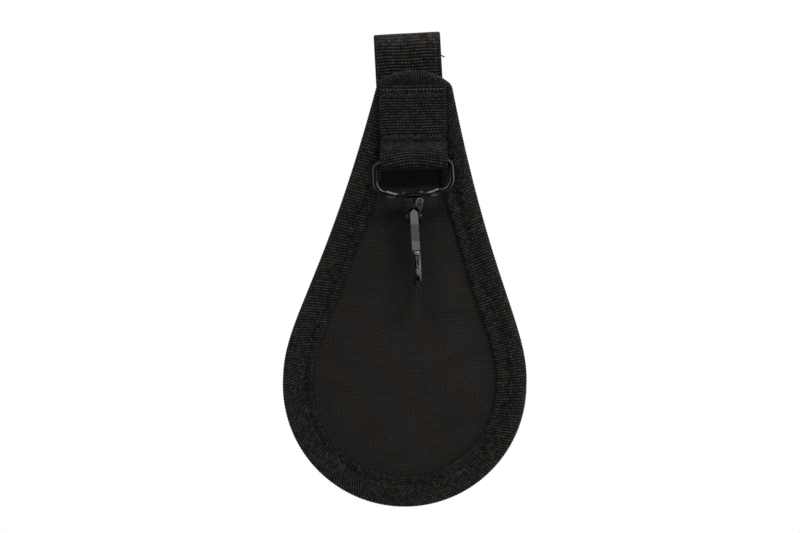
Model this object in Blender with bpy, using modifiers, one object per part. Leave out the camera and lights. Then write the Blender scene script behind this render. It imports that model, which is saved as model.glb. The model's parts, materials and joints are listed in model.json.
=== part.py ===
"""Key holder for a duty belt: a padded teardrop backing, a belt loop and a swivel snap hook.

Metres, +Z up, the front faces -Y. The origin is the belt seat: the middle of the belt loop's
inner top, where the loop hangs on the belt's upper edge.
"""

from math import acos, atan2, cos, hypot, pi, radians, sin, sqrt, tan

import bmesh
import bpy
from mathutils import Euler, Vector

# Clearances and shared sizes
SEAT_GAP = 0.0003
PIN_GAP = 0.00025
CUT_OVERRUN = 0.002
WEBBING_WIDTH = 0.0254
WEBBING_THICKNESS = 0.0016

# Belt loop: what belt it takes, and its sewn end
BELT_SLOT_DEPTH = 0.0060
BELT_SLOT_HEIGHT = 0.0460
LOOP_CLOSE_HEIGHT = 0.0080
LOOP_TACK_LENGTH = 0.0100
LOOP_BEND_RADIUS = 0.0060

# Pad: outline of the binding's outer edge
PAD_TOP_DROP = 0.0129
PAD_HEIGHT = 0.1655
BOWL_RADIUS = 0.0462
FLANK_START_RISE = 0.0018
SHOULDER_HALF_WIDTH = 0.0145
SHOULDER_CORNER_RADIUS = 0.0045
SHOULDER_LEAN = radians(13)
FLANK_UPPER_HANDLE = 0.0760
FLANK_LOWER_HANDLE = 0.0220
TOP_ARC_RADIUS = 0.0220
SPINE_TOP_DROP = 0.0125

# Pad: layers from the back to the front
TAPE_THICKNESS = 0.0009
TAPE_FOLD_WIDTH = 0.0110
PANEL_THICKNESS = 0.0008
BOARD_THICKNESS = 0.0010
BOARD_INSET = 0.0040
FOAM_INSET = 0.0030
FOAM_EDGE_THICKNESS = 0.0022
CROWN_HEIGHT = 0.0028
CROWN_RUN = 0.0260

# Hook strap: a strip folded round the bail's top bar, sewn on a little askew
STRAP_TOP_DROP = 0.0061
STRAP_LEAN = radians(3)
STRAP_LEAN_DROP = 0.0355
STRAP_BULGE_RISE = 0.0026
STRAP_BULGE_HEIGHT = 0.0040
STRAP_BULGE_RADIUS = 0.0030

# Bail: wire ring with its ends in the saddle
BAIL_AXIS_DROP = 0.0479
BAIL_WIRE_RADIUS = 0.0010
BAIL_SIDE_CLEARANCE = 0.0007
BAIL_OFFSET = -0.00045
BAIL_LENGTH = 0.0116
BAIL_CORNER_RADIUS = 0.0028
BAIL_LOW_CORNER_RADIUS = 0.0045
BAR_CLEARANCE = 0.0006
BAR_LEAST_GAP = 0.0001
HOOK_LEAN = radians(0.25)
SADDLE_OFFSET = -0.0006
SADDLE_LENGTH = 0.0195
SADDLE_THICKNESS = 0.0008
SADDLE_END_RIM = 0.0008
SADDLE_MIDDLE_RIM = 0.0012
SADDLE_END_DROP = 0.0006
POST_RADIUS = 0.0010
POST_HEAD_RADIUS = 0.0017
POST_HEAD_HEIGHT = 0.0005
POST_DOME_SHARES = ((0, 1), (0.5, 0.88), (0.85, 0.5), (1, 0))
POST_FOOT_RADIUS = 0.0021
POST_FOOT_HEIGHT = 0.0011
WASHER_RADIUS = 0.0040
WASHER_THICKNESS = 0.0007

# Hook: pressed body with a head, a spine, a bend and a bill
HOOK_WIDTH = 0.0030
HOOK_DEPTH = 0.0028
HOOK_SPINE_REACH = 0.0045
HOOK_SPINE_TOP_REACH = 0.0012
HOOK_BILL_REACH = 0.0040
HOOK_SPINE_SHOULDER = 0.0195
HOOK_SPINE_BEND_RADIUS = 0.0200
HOOK_INNER_BOTTOM = 0.0306
HOOK_GROOVE_WIDTH = 0.0015
HOOK_GROOVE_DEPTH = 0.0021
HOOK_TIP_WALL = 0.0009
HOOK_EDGE_ROUND = 0.0004
HEAD_HEIGHT = 0.0086
HEAD_HALF_WIDTH = 0.00375
HEAD_CHEEK_HALF_WIDTH = 0.0026
HEAD_FRONT = 0.0046
HEAD_REAR = 0.0043
HEAD_WALL = 0.0009
HEAD_CHEEK_WALL = 0.00075
HEAD_CORNER_RADIUS = 0.0012
HEAD_SHOULDER_DROP = 0.0032
HEAD_WAIST_DROP = 0.0060
LOBE_GAP_TOP_WIDTH = 0.0006
LOBE_GAP_TOP_DROP = 0.0032
LOBE_GAP_OPEN_DROP = 0.0056

# Gate: spring latch on a cross rivet
RIVET_DROP = 0.0071
RIVET_SET_BACK = 0.0022
RIVET_RADIUS = 0.0009
RIVET_PROUD = 0.0003
RIVET_END_ROUND = 0.0002
GATE_WIDTH = 0.0030
GATE_TOP_RISE = 0.0025
GATE_POINT_HEIGHT = 0.0014
GATE_LENGTH = 0.0138
GATE_TOP_REACH = 0.0041
GATE_TIP_REACH = 0.0065
GATE_SHEET = 0.0006
GATE_SIDE_WALL = 0.0005
GATE_EAR_RADIUS = 0.0017
GATE_TIP_DEPTH = 0.0038
GATE_TONGUE_LENGTH = 0.0018
GATE_TONGUE_THICKNESS = 0.0008
SPRING_WIRE_RADIUS = 0.00018
SPRING_COIL_RADIUS = 0.00133
SPRING_PITCH = 0.00056
SPRING_TURNS = 2.5
SPRING_FRONT_LEG = 0.0060
SPRING_REAR_LEG = 0.0028

# Facet counts
ARC_STEPS = 6
BOWL_STEPS = 15
FLANK_STEPS = 11
CORNER_STEPS = 3
TOP_STEPS = 3
ROUND_SIDES = 24
HEAD_CORNER_STEPS = 3
COIL_STEPS = 10

# Facet merging distance and the two standing plane turns
WELD_DISTANCE = 0.000001
FLAT_ANGLE = radians(0.1)
FRONT_TURN = Euler((pi / 2, 0, 0))
SIDE_TURN = Euler((pi / 2, 0, pi / 2))

# Worked out from the sizes above: heights
PAD_TOP = -PAD_TOP_DROP
PAD_BOTTOM = PAD_TOP - PAD_HEIGHT
BOWL_CENTRE = PAD_BOTTOM + BOWL_RADIUS
SPINE_TOP = PAD_TOP - SPINE_TOP_DROP
STRAP_TOP = PAD_TOP - STRAP_TOP_DROP
BAIL_AXIS = -BAIL_AXIS_DROP

# Worked out from the sizes above: faces of each layer along Y, from the belt to the front
LOOP_FRONT_FACE = -BELT_SLOT_DEPTH / 2 - WEBBING_THICKNESS
TAPE_BACK_FRONT = LOOP_FRONT_FACE - SEAT_GAP - TAPE_THICKNESS
BACK_PANEL_REAR = TAPE_BACK_FRONT - SEAT_GAP
BACK_PANEL_FRONT = BACK_PANEL_REAR - PANEL_THICKNESS
BOARD_REAR = BACK_PANEL_FRONT - SEAT_GAP
BOARD_FRONT = BOARD_REAR - BOARD_THICKNESS
FOAM_REAR = BOARD_FRONT - SEAT_GAP
FOAM_EDGE_FRONT = FOAM_REAR - FOAM_EDGE_THICKNESS
PANEL_EDGE_REAR = FOAM_EDGE_FRONT - SEAT_GAP
PANEL_EDGE_FRONT = PANEL_EDGE_REAR - PANEL_THICKNESS
TAPE_FRONT_REAR = PANEL_EDGE_FRONT - SEAT_GAP
TAPE_FRONT_FACE = TAPE_FRONT_REAR - TAPE_THICKNESS
CROWN_FACE = PANEL_EDGE_FRONT - CROWN_HEIGHT
PANEL_INSET = TAPE_THICKNESS + SEAT_GAP

# Worked out from the sizes above: the strap, the bail's axis and the hanging hook
STRAP_REAR_MID = TAPE_FRONT_FACE - SEAT_GAP - WEBBING_THICKNESS / 2
STRAP_FRONT_MID = STRAP_REAR_MID - WEBBING_THICKNESS - SEAT_GAP
STRAP_LOOP_RADIUS = BAIL_WIRE_RADIUS + BAR_CLEARANCE + WEBBING_THICKNESS / 2
BAIL_AXIS_Y = STRAP_REAR_MID - STRAP_LOOP_RADIUS
BAIL_HALF_WIDTH = WEBBING_WIDTH / 2 + BAIL_SIDE_CLEARANCE + BAIL_WIRE_RADIUS
SADDLE_INNER_RADIUS = BAIL_WIRE_RADIUS + SEAT_GAP
SADDLE_OUTER_RADIUS = SADDLE_INNER_RADIUS + SADDLE_THICKNESS
SADDLE_RIDGE = -BAIL_LENGTH + SADDLE_OUTER_RADIUS
SADDLE_RIM = -BAIL_LENGTH - SADDLE_MIDDLE_RIM
WASHER_TOP = SADDLE_RIM - SEAT_GAP
HEAD_TOP = WASHER_TOP - WASHER_THICKNESS - SEAT_GAP
HEAD_BOTTOM = HEAD_TOP - HEAD_HEIGHT
RIVET = (-RIVET_SET_BACK, HEAD_TOP - RIVET_DROP)
GATE_TIP_RADIUS = hypot(GATE_TIP_REACH - RIVET_SET_BACK, GATE_LENGTH)
BILL_TIP_RADIUS = GATE_TIP_RADIUS + SEAT_GAP
HOOK_BOTTOM = HEAD_TOP - HOOK_INNER_BOTTOM
HOOK_INNER_BEND_RADIUS = (HOOK_SPINE_REACH + HOOK_BILL_REACH) / 2


def clear_scene():
    for scene_object in list(bpy.data.objects):
        bpy.data.objects.remove(scene_object, do_unlink=True)


def new_collection(name):
    collection = bpy.data.collections.new(name)
    bpy.context.scene.collection.children.link(collection)
    return collection


def finish_material(name, colour, roughness, metallic=0.0):
    material = bpy.data.materials.new(name)
    material.use_nodes = True
    shader = material.node_tree.nodes["Principled BSDF"]
    shader.inputs["Base Color"].default_value = (*colour, 1.0)
    shader.inputs["Roughness"].default_value = roughness
    shader.inputs["Metallic"].default_value = metallic
    material.diffuse_color = (*colour, 1.0)
    return material


def place(name, data, collection, material=None, parent=None, location=(0, 0, 0), turn=None):
    placed = bpy.data.objects.new(name, data)
    collection.objects.link(placed)
    placed.location = location
    if turn is not None:
        placed.rotation_euler = turn
    placed.parent = parent
    if material is not None:
        data.materials.append(material)
    return placed


def smooth_mesh(mesh, angle=radians(35)):
    mesh.shade_smooth()
    mesh.set_sharp_from_angle(angle=angle)


def line_curve(name, points, closed=False, flat=True):
    curve = bpy.data.curves.new(name, "CURVE")
    curve.dimensions = "2D" if flat else "3D"
    spline = curve.splines.new("POLY")
    spline.points.add(len(points) - 1)
    for spline_point, point in zip(spline.points, points):
        place_on_line = (*point, 0) if len(point) == 2 else point
        spline_point.co = (*place_on_line, 1)
    spline.use_cyclic_u = closed
    return curve


def plate(name, outline, thickness, collection, material=None, parent=None,
          location=(0, 0, 0), turn=FRONT_TURN):
    """A flat outline with a thickness, centred on its own plane."""
    curve = line_curve(name, outline, closed=True)
    curve.fill_mode = "BOTH"
    curve.extrude = thickness / 2
    return place(name, curve, collection, material, parent, location, turn)


def strip(name, path, width, thickness, collection, material, parent=None):
    """Webbing or sheet bent along a side path, centred on that path."""
    curve = line_curve(name, path)
    curve.fill_mode = "NONE"
    curve.extrude = width / 2
    bent = place(name, curve, collection, material, parent, turn=SIDE_TURN)
    wall = bent.modifiers.new("Thickness", "SOLIDIFY")
    wall.thickness = thickness
    wall.offset = 0
    wall.use_even_offset = True
    return bent


def wire(name, points, radius, collection, material, parent=None, closed=False, sides=2):
    curve = line_curve(name, points, closed=closed, flat=False)
    curve.bevel_depth = radius
    curve.bevel_resolution = sides
    curve.use_fill_caps = not closed
    return place(name, curve, collection, material, parent)


def turned(name, profile, collection, material, parent=None, location=(0, 0, 0), turn=None):
    """A profile of (radius, height) points, from the top down its outer side, turned about Z."""
    mesh = bpy.data.meshes.new(name)
    corners = [(radius, 0, height) for radius, height in profile]
    edges = [(index, index + 1) for index in range(len(corners) - 1)]
    mesh.from_pydata(corners, edges, [])
    part = place(name, mesh, collection, material, parent, location, turn)
    screw = part.modifiers.new("Turning", "SCREW")
    screw.steps = ROUND_SIDES
    screw.render_steps = ROUND_SIDES
    screw.use_merge_vertices = True
    screw.merge_threshold = WELD_DISTANCE
    return part


def loft(name, rings, collection, material=None, parent=None, capped=True):
    """Skin between rings that have the same number of points."""
    form = bmesh.new()
    levels = [[form.verts.new(point) for point in ring] for ring in rings]
    for lower, upper in zip(levels, levels[1:]):
        count = len(lower)
        for index in range(count):
            following = (index + 1) % count
            form.faces.new((lower[index], lower[following], upper[following], upper[index]))
    if capped:
        form.faces.new(list(reversed(levels[0])))
        form.faces.new(levels[-1])
    bmesh.ops.remove_doubles(form, verts=form.verts, dist=WELD_DISTANCE)
    bmesh.ops.recalc_face_normals(form, faces=form.faces)
    mesh = bpy.data.meshes.new(name)
    form.to_mesh(mesh)
    form.free()
    smooth_mesh(mesh)
    return place(name, mesh, collection, material, parent)


def made_mesh(source):
    """Swap a curve, or an object with modifiers, for its finished mesh under the same name."""
    bpy.context.view_layer.update()
    evaluated = source.evaluated_get(bpy.context.evaluated_depsgraph_get())
    mesh = bpy.data.meshes.new_from_object(evaluated)
    form = bmesh.new()
    form.from_mesh(mesh)
    bmesh.ops.remove_doubles(form, verts=form.verts, dist=WELD_DISTANCE)
    bmesh.ops.dissolve_limit(form, angle_limit=FLAT_ANGLE, verts=form.verts, edges=form.edges)
    bmesh.ops.recalc_face_normals(form, faces=form.faces)
    form.to_mesh(mesh)
    form.free()
    name = source.name
    collection = source.users_collection[0]
    parent = source.parent
    matrix = source.matrix_world.copy()
    bpy.data.objects.remove(source, do_unlink=True)
    solid = bpy.data.objects.new(name, mesh)
    collection.objects.link(solid)
    solid.parent = parent
    solid.matrix_world = matrix
    return solid


def cut(solid, tool, operation="DIFFERENCE"):
    tool.hide_render = True
    tool.display_type = "WIRE"
    boolean = solid.modifiers.new(tool.name, "BOOLEAN")
    boolean.operation = operation
    boolean.object = tool
    boolean.solver = "EXACT"


def round_edges(solid, width, limit=radians(50)):
    bevel = solid.modifiers.new("Edge rounding", "BEVEL")
    bevel.width = width
    bevel.segments = 2
    bevel.limit_method = "ANGLE"
    bevel.angle_limit = limit
    bevel.use_clamp_overlap = True


def rod_cutter(name, radius, length, collection, parent, location, turn=None):
    form = bmesh.new()
    bmesh.ops.create_cone(form, cap_ends=True, segments=ROUND_SIDES, radius1=radius,
                          radius2=radius, depth=length)
    mesh = bpy.data.meshes.new(name)
    form.to_mesh(mesh)
    form.free()
    return place(name, mesh, collection, None, parent, location, turn)


def filleted(corners, steps=ARC_STEPS):
    """A path through (a, b, radius) corners, each inner corner rounded by its radius."""
    path = [corners[0][:2]]
    for before, corner, after in zip(corners, corners[1:], corners[2:]):
        centre = Vector(corner[:2])
        arriving = (centre - Vector(before[:2])).normalized()
        leaving = (Vector(after[:2]) - centre).normalized()
        bend = arriving.angle_signed(leaving)
        reach = corner[2] * tan(abs(bend) / 2)
        start = centre - arriving * reach
        side = Vector((-arriving.y, arriving.x)) * (-1 if bend > 0 else 1)
        hub = start + side * corner[2]
        for step in range(steps + 1):
            angle = -bend * step / steps
            spoke = start - hub
            path.append((
                hub.x + spoke.x * cos(angle) - spoke.y * sin(angle),
                hub.y + spoke.x * sin(angle) + spoke.y * cos(angle),
            ))
    path.append(corners[-1][:2])
    distinct = [path[0]]
    for point in path[1:]:
        if hypot(point[0] - distinct[-1][0], point[1] - distinct[-1][1]) > WELD_DISTANCE:
            distinct.append(point)
    return distinct


def offset_path(path, distance):
    """The path moved sideways to its left, keeping each corner's distance."""
    moved = []
    for index, point in enumerate(path):
        before = Vector(path[max(index - 1, 0)])
        after = Vector(path[min(index + 1, len(path) - 1)])
        here = Vector(point)
        arriving = (here - before).normalized() if index else (after - here).normalized()
        leaving = (after - here).normalized() if index < len(path) - 1 else arriving
        left = Vector((-(arriving + leaving).y, (arriving + leaving).x)).normalized()
        mitre = left.dot(Vector((-arriving.y, arriving.x)))
        moved.append(tuple(here + left * (distance / mitre)))
    return moved


def smoothstep(share):
    held = min(max(share, 0), 1)
    return held * held * (3 - 2 * held)


def shoulder_hub():
    """Centre of the rounded corner that joins the flank to the top arc."""
    x = SHOULDER_HALF_WIDTH - SHOULDER_CORNER_RADIUS * cos(SHOULDER_LEAN)
    reach = TOP_ARC_RADIUS - SHOULDER_CORNER_RADIUS
    return Vector((x, PAD_TOP - TOP_ARC_RADIUS + sqrt(reach ** 2 - x ** 2)))


def flank_points():
    """The pad's right flank, from the bowl's widest point up to the shoulder."""
    start = Vector((BOWL_RADIUS, BOWL_CENTRE + FLANK_START_RISE))
    lean = Vector((cos(SHOULDER_LEAN), sin(SHOULDER_LEAN)))
    end = shoulder_hub() + lean * SHOULDER_CORNER_RADIUS
    lower = start + Vector((0, FLANK_LOWER_HANDLE))
    upper = end + Vector((sin(SHOULDER_LEAN), -cos(SHOULDER_LEAN))) * FLANK_UPPER_HANDLE
    points = []
    for step in range(FLANK_STEPS + 1):
        t = step / FLANK_STEPS
        rest = 1 - t
        points.append(start * rest ** 3 + lower * (3 * rest ** 2 * t)
                      + upper * (3 * rest * t ** 2) + end * t ** 3)
    return points


def half_outline():
    """Right half of the teardrop with the spine point that each outline point faces."""
    half = []
    bowl_hub = Vector((0, BOWL_CENTRE))
    for step in range(BOWL_STEPS + 1):
        angle = -pi / 2 + pi / 2 * step / BOWL_STEPS
        point = bowl_hub + Vector((cos(angle), sin(angle))) * BOWL_RADIUS
        half.append((point, bowl_hub))
    flank = flank_points()
    for index, point in enumerate(flank):
        before = flank[max(index - 1, 0)]
        after = flank[min(index + 1, len(flank) - 1)]
        slope = (after.x - before.x) / (after.y - before.y)
        foot = min(point.y + point.x * slope, SPINE_TOP)
        half.append((point, Vector((0, max(foot, BOWL_CENTRE)))))
    spine_top = Vector((0, SPINE_TOP))
    arc_hub = Vector((0, PAD_TOP - TOP_ARC_RADIUS))
    corner_hub = shoulder_hub()
    meeting = atan2(corner_hub.y - arc_hub.y, corner_hub.x)
    for step in range(CORNER_STEPS + 1):
        angle = SHOULDER_LEAN + (meeting - SHOULDER_LEAN) * step / CORNER_STEPS
        point = corner_hub + Vector((cos(angle), sin(angle))) * SHOULDER_CORNER_RADIUS
        half.append((point, spine_top))
    for step in range(1, TOP_STEPS + 1):
        angle = meeting + (pi / 2 - meeting) * step / TOP_STEPS
        point = arc_hub + Vector((cos(angle), sin(angle))) * TOP_ARC_RADIUS
        half.append((point, spine_top))
    return half


def teardrop():
    """The whole outline, anticlockwise from the bottom, as (outline point, spine point)."""
    half = half_outline()
    merged = [half[0]]
    for point, foot in half[1:]:
        if (point - merged[-1][0]).length > WELD_DISTANCE:
            merged.append((point, foot))
    mirrored = [(Vector((-point.x, point.y)), foot) for point, foot in reversed(merged[1:-1])]
    return merged + mirrored


OUTLINE = teardrop()


def inset_outline(inset):
    """The teardrop drawn in by an inset, each point moving towards its spine point."""
    return [tuple(point + (foot - point).normalized() * inset) for point, foot in OUTLINE]


def crown(distance):
    """How far the padded front stands out, by the distance in from the pad's outer edge."""
    return CROWN_HEIGHT * smoothstep((distance - TAPE_FOLD_WIDTH) / CROWN_RUN)


def crowned_rings(edge_y, insets, shares):
    """Rings on the crowned front: at each inset, then at each share of the way to the spine."""
    rings = []
    for inset in insets:
        rings.append([(x, edge_y - crown(inset), z) for x, z in inset_outline(inset)])
    last_inset = insets[-1]
    for share in shares:
        ring = []
        for point, foot in OUTLINE:
            span = (foot - point).length
            distance = last_inset + (span - last_inset) * share
            spot = point + (foot - point).normalized() * distance
            ring.append((spot.x, edge_y - crown(distance), spot.y))
        rings.append(ring)
    return rings


def make_front_panel(collection, fabric):
    insets = (PANEL_INSET, TAPE_FOLD_WIDTH)
    shares = (0.25, 0.5, 0.75, 1)
    middle_y = (PANEL_EDGE_REAR + PANEL_EDGE_FRONT) / 2
    panel = loft("front_panel", crowned_rings(middle_y, insets, shares), collection, fabric,
                 capped=False)
    wall = panel.modifiers.new("Thickness", "SOLIDIFY")
    wall.thickness = PANEL_THICKNESS
    wall.offset = 0
    wall.use_even_offset = True
    return panel


def make_foam_core(collection, foam):
    insets = (FOAM_INSET, TAPE_FOLD_WIDTH)
    front_shares = (0.25, 0.5, 0.75, 1)
    front = crowned_rings(FOAM_EDGE_FRONT, insets, front_shares)
    rear_edge = [(x, FOAM_REAR, z) for x, z in inset_outline(FOAM_INSET)]
    rear_spine = [(foot.x, FOAM_REAR, foot.y) for point, foot in OUTLINE]
    rings = list(reversed(front)) + [rear_edge, rear_spine]
    return loft("foam_core", rings, collection, foam, capped=False)


def make_stiffener_board(collection, board):
    middle = (0, (BOARD_REAR + BOARD_FRONT) / 2, 0)
    return plate("stiffener_board", inset_outline(BOARD_INSET), BOARD_THICKNESS, collection,
                 board, location=middle)


def make_back_panel(collection, fabric):
    middle = (0, (BACK_PANEL_REAR + BACK_PANEL_FRONT) / 2, 0)
    return plate("back_panel", inset_outline(PANEL_INSET), PANEL_THICKNESS, collection,
                 fabric, location=middle)


def make_edge_binding(collection, tape):
    """Tape folded over the pad's edge, as wide in front as behind."""
    half = TAPE_THICKNESS / 2
    front = TAPE_FRONT_FACE + half
    rear = TAPE_BACK_FRONT + half
    bend = TAPE_THICKNESS
    section = filleted(((TAPE_FOLD_WIDTH, front), (half, front, bend), (half, rear, bend),
                        (TAPE_FOLD_WIDTH, rear)), steps=CORNER_STEPS)
    rings = [[(x, y, z) for x, z in inset_outline(inset)] for inset, y in section]
    binding = loft("edge_binding", rings, collection, tape, capped=False)
    wall = binding.modifiers.new("Thickness", "SOLIDIFY")
    wall.thickness = TAPE_THICKNESS
    wall.offset = 0
    wall.use_even_offset = True
    return binding


def make_belt_loop(collection, webbing):
    """One strip over the belt's top edge, its two ends stacked and sewn to the pad's back."""
    half = WEBBING_THICKNESS / 2
    run = BELT_SLOT_DEPTH / 2 + half
    stacked = WEBBING_THICKNESS + SEAT_GAP - run
    close = -BELT_SLOT_HEIGHT
    tack = close - LOOP_CLOSE_HEIGHT
    end = tack - LOOP_TACK_LENGTH
    path = filleted((
        (-run, end),
        (-run, half, run),
        (run, half, run),
        (run, close, LOOP_BEND_RADIUS),
        (stacked, tack, LOOP_BEND_RADIUS),
        (stacked, end),
    ))
    return strip("belt_loop", path, WEBBING_WIDTH, WEBBING_THICKNESS, collection, webbing)


def make_hook_strap(collection, webbing, seat):
    """One strip sewn to the pad's front and folded round the bail's top bar."""
    front_most = BAIL_AXIS_Y - STRAP_LOOP_RADIUS
    bottom = BAIL_AXIS - STRAP_LOOP_RADIUS
    bulge_low = BAIL_AXIS + STRAP_BULGE_RISE
    bulge_high = bulge_low + STRAP_BULGE_HEIGHT
    path = filleted((
        (STRAP_REAR_MID, STRAP_TOP),
        (STRAP_REAR_MID, bottom, STRAP_LOOP_RADIUS),
        (front_most, bottom, STRAP_LOOP_RADIUS),
        (front_most, bulge_low, STRAP_BULGE_RADIUS),
        (STRAP_FRONT_MID, bulge_high, STRAP_BULGE_RADIUS),
        (STRAP_FRONT_MID, STRAP_TOP),
    ))
    return strip("hook_strap", path, WEBBING_WIDTH, WEBBING_THICKNESS, collection, webbing, seat)


def bill_tip(reach, radius):
    """Height of a point at this reach in front that lies on an arc about the rivet."""
    return RIVET[1] - sqrt(radius ** 2 - (reach - RIVET_SET_BACK) ** 2)


def throat_path():
    """Inner side of the hook: down the spine, round the bend and up to the bill's tip."""
    shoulder = HEAD_TOP - HOOK_SPINE_SHOULDER
    tip = bill_tip(HOOK_BILL_REACH, BILL_TIP_RADIUS)
    return filleted((
        (HOOK_SPINE_TOP_REACH, HEAD_TOP - HEAD_SHOULDER_DROP),
        (HOOK_SPINE_REACH, shoulder, HOOK_SPINE_BEND_RADIUS),
        (HOOK_SPINE_REACH, HOOK_BOTTOM, HOOK_INNER_BEND_RADIUS),
        (-HOOK_BILL_REACH, HOOK_BOTTOM, HOOK_INNER_BEND_RADIUS),
        (-HOOK_BILL_REACH, tip),
    ))


def rest_tilt():
    """Lean at which the hanging hook, turned any way on its swivel, just clears the crown."""
    stand_off = CROWN_FACE - SEAT_GAP - BAIL_AXIS_Y
    outer = offset_path(throat_path(), HOOK_DEPTH)
    tilts = [acos(stand_off / hypot(y, z)) - atan2(-z, abs(y)) for y, z in outer]
    return max(tilts)


def bail_lean():
    """Sideways lean of the hanging bail, as far as its bar has room in the strap's loop."""
    strap_edge = WEBBING_WIDTH / 2 + BAIL_OFFSET
    into_bend = max(strap_edge - (BAIL_HALF_WIDTH - BAIL_CORNER_RADIUS), 0)
    bend_drop = BAIL_CORNER_RADIUS - sqrt(BAIL_CORNER_RADIUS ** 2 - into_bend ** 2)
    return atan2(BAR_CLEARANCE - BAR_LEAST_GAP - bend_drop, strap_edge)


def make_bail_wire(collection, steel, bail):
    half_width = BAIL_HALF_WIDTH
    end = POST_RADIUS + SEAT_GAP + SEAT_GAP
    flat = filleted((
        (SADDLE_OFFSET + end, -BAIL_LENGTH),
        (half_width, -BAIL_LENGTH, BAIL_LOW_CORNER_RADIUS),
        (half_width, 0, BAIL_CORNER_RADIUS),
        (-half_width, 0, BAIL_CORNER_RADIUS),
        (-half_width, -BAIL_LENGTH, BAIL_LOW_CORNER_RADIUS),
        (SADDLE_OFFSET - end, -BAIL_LENGTH),
    ))
    points = [(x, 0, z) for x, z in flat]
    return wire("bail_wire", points, BAIL_WIRE_RADIUS, collection, steel, bail)


def make_bail_saddle(collection, cutters, steel, bail):
    """Pressed channel over the bail's two ends, its lower rim dipping like a smile."""
    middle_radius = SADDLE_INNER_RADIUS + SADDLE_THICKNESS / 2
    foot = SADDLE_RIM - CUT_OVERRUN
    top = -BAIL_LENGTH + middle_radius
    path = filleted((
        (-middle_radius, foot),
        (-middle_radius, top, middle_radius),
        (middle_radius, top, middle_radius),
        (middle_radius, foot),
    ))
    channel = strip("bail_saddle", path, SADDLE_LENGTH, SADDLE_THICKNESS, collection, steel, bail)
    saddle = made_mesh(channel)
    half = SADDLE_LENGTH / 2 + CUT_OVERRUN
    end_rim = -BAIL_LENGTH + SADDLE_END_RIM
    drop = end_rim - SADDLE_RIM
    rim = []
    for step in range(-ARC_STEPS, ARC_STEPS + 1):
        share = step / ARC_STEPS
        rim.append((half * share, SADDLE_RIM + drop * share ** 2))
    ends_top = SADDLE_RIDGE - SADDLE_END_DROP
    outline = rim + [(half, ends_top), (half / 2, SADDLE_RIDGE + CUT_OVERRUN),
                     (-half / 2, SADDLE_RIDGE + CUT_OVERRUN), (-half, ends_top)]
    depth = 2 * SADDLE_OUTER_RADIUS + CUT_OVERRUN
    cut(saddle, made_mesh(plate("saddle_outline", outline, depth, cutters, None, bail)),
        "INTERSECT")
    cut(saddle, rod_cutter("saddle_post_hole", POST_RADIUS + SEAT_GAP, CUT_OVERRUN * 2, cutters,
                           bail, (0, 0, SADDLE_RIDGE)))
    return saddle


def make_swivel_post(collection, steel, bail):
    """Rivet that hangs in the saddle and holds the hook's head on its foot."""
    head_low = SADDLE_RIDGE + SEAT_GAP
    foot_high = HEAD_TOP - HEAD_WALL - SEAT_GAP
    foot_low = foot_high - POST_FOOT_HEIGHT
    dome = [(POST_HEAD_RADIUS * across, head_low + POST_HEAD_HEIGHT * up)
            for across, up in POST_DOME_SHARES]
    profile = dome + [
        (POST_RADIUS, head_low),
        (POST_RADIUS, foot_high),
        (POST_FOOT_RADIUS, foot_high),
        (POST_FOOT_RADIUS, foot_low),
        (0, foot_low),
    ]
    return turned("swivel_post", profile, collection, steel, bail)


def make_swivel_washer(collection, steel, bail):
    low = WASHER_TOP - WASHER_THICKNESS
    bore = POST_RADIUS + SEAT_GAP
    chamfer = WASHER_THICKNESS / 4
    profile = (
        (bore, WASHER_TOP),
        (WASHER_RADIUS - chamfer, WASHER_TOP),
        (WASHER_RADIUS, WASHER_TOP - chamfer),
        (WASHER_RADIUS, low + chamfer),
        (WASHER_RADIUS - chamfer, low),
        (bore, low),
        (bore, WASHER_TOP),
    )
    return turned("swivel_washer", profile, collection, steel, bail)


def rounded_ring(half_width, front, rear, radius, height):
    """Rounded rectangle at one height, from its half width, its reach in front and behind."""
    ring = []
    corners = ((half_width, rear, 0), (-half_width, rear, pi / 2),
               (-half_width, -front, pi), (half_width, -front, 3 * pi / 2))
    for x, y, start in corners:
        hub_x = x - radius * (1 if x > 0 else -1)
        hub_y = y - radius * (1 if y > 0 else -1)
        for step in range(HEAD_CORNER_STEPS + 1):
            angle = start + pi / 2 * step / HEAD_CORNER_STEPS
            ring.append((hub_x + radius * cos(angle), hub_y + radius * sin(angle), height))
    return ring


def head_rings(wall, cheek_wall, top, bottom, low_rear):
    """Sections of the head from its top to its bottom, drawn in by a wall."""
    shoulder = HEAD_TOP - HEAD_SHOULDER_DROP
    waist = HEAD_TOP - HEAD_WAIST_DROP
    corner = HEAD_CORNER_RADIUS - wall / 2
    soft = HEAD_CORNER_RADIUS / 2 if not wall else 0
    cheek = HEAD_CHEEK_HALF_WIDTH - cheek_wall
    broad = HEAD_HALF_WIDTH - wall
    front = HEAD_FRONT - wall
    rear = HEAD_REAR - wall
    return [
        rounded_ring(broad - soft, front - soft, rear - soft, corner, top),
        rounded_ring(broad, front, rear, corner, top - (HEAD_CORNER_RADIUS / 2)),
        rounded_ring(broad, front, rear, corner, shoulder),
        rounded_ring(cheek, front, low_rear, corner, waist),
        rounded_ring(cheek, front, low_rear, corner, bottom),
    ]


def groove_outline(path):
    """Side outline of the channel pressed into the hook's outer side."""
    floor = offset_path(path, HOOK_DEPTH - HOOK_GROOVE_DEPTH)
    mouth = offset_path(path, HOOK_DEPTH + CUT_OVERRUN)
    return floor + list(reversed(mouth))


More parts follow.
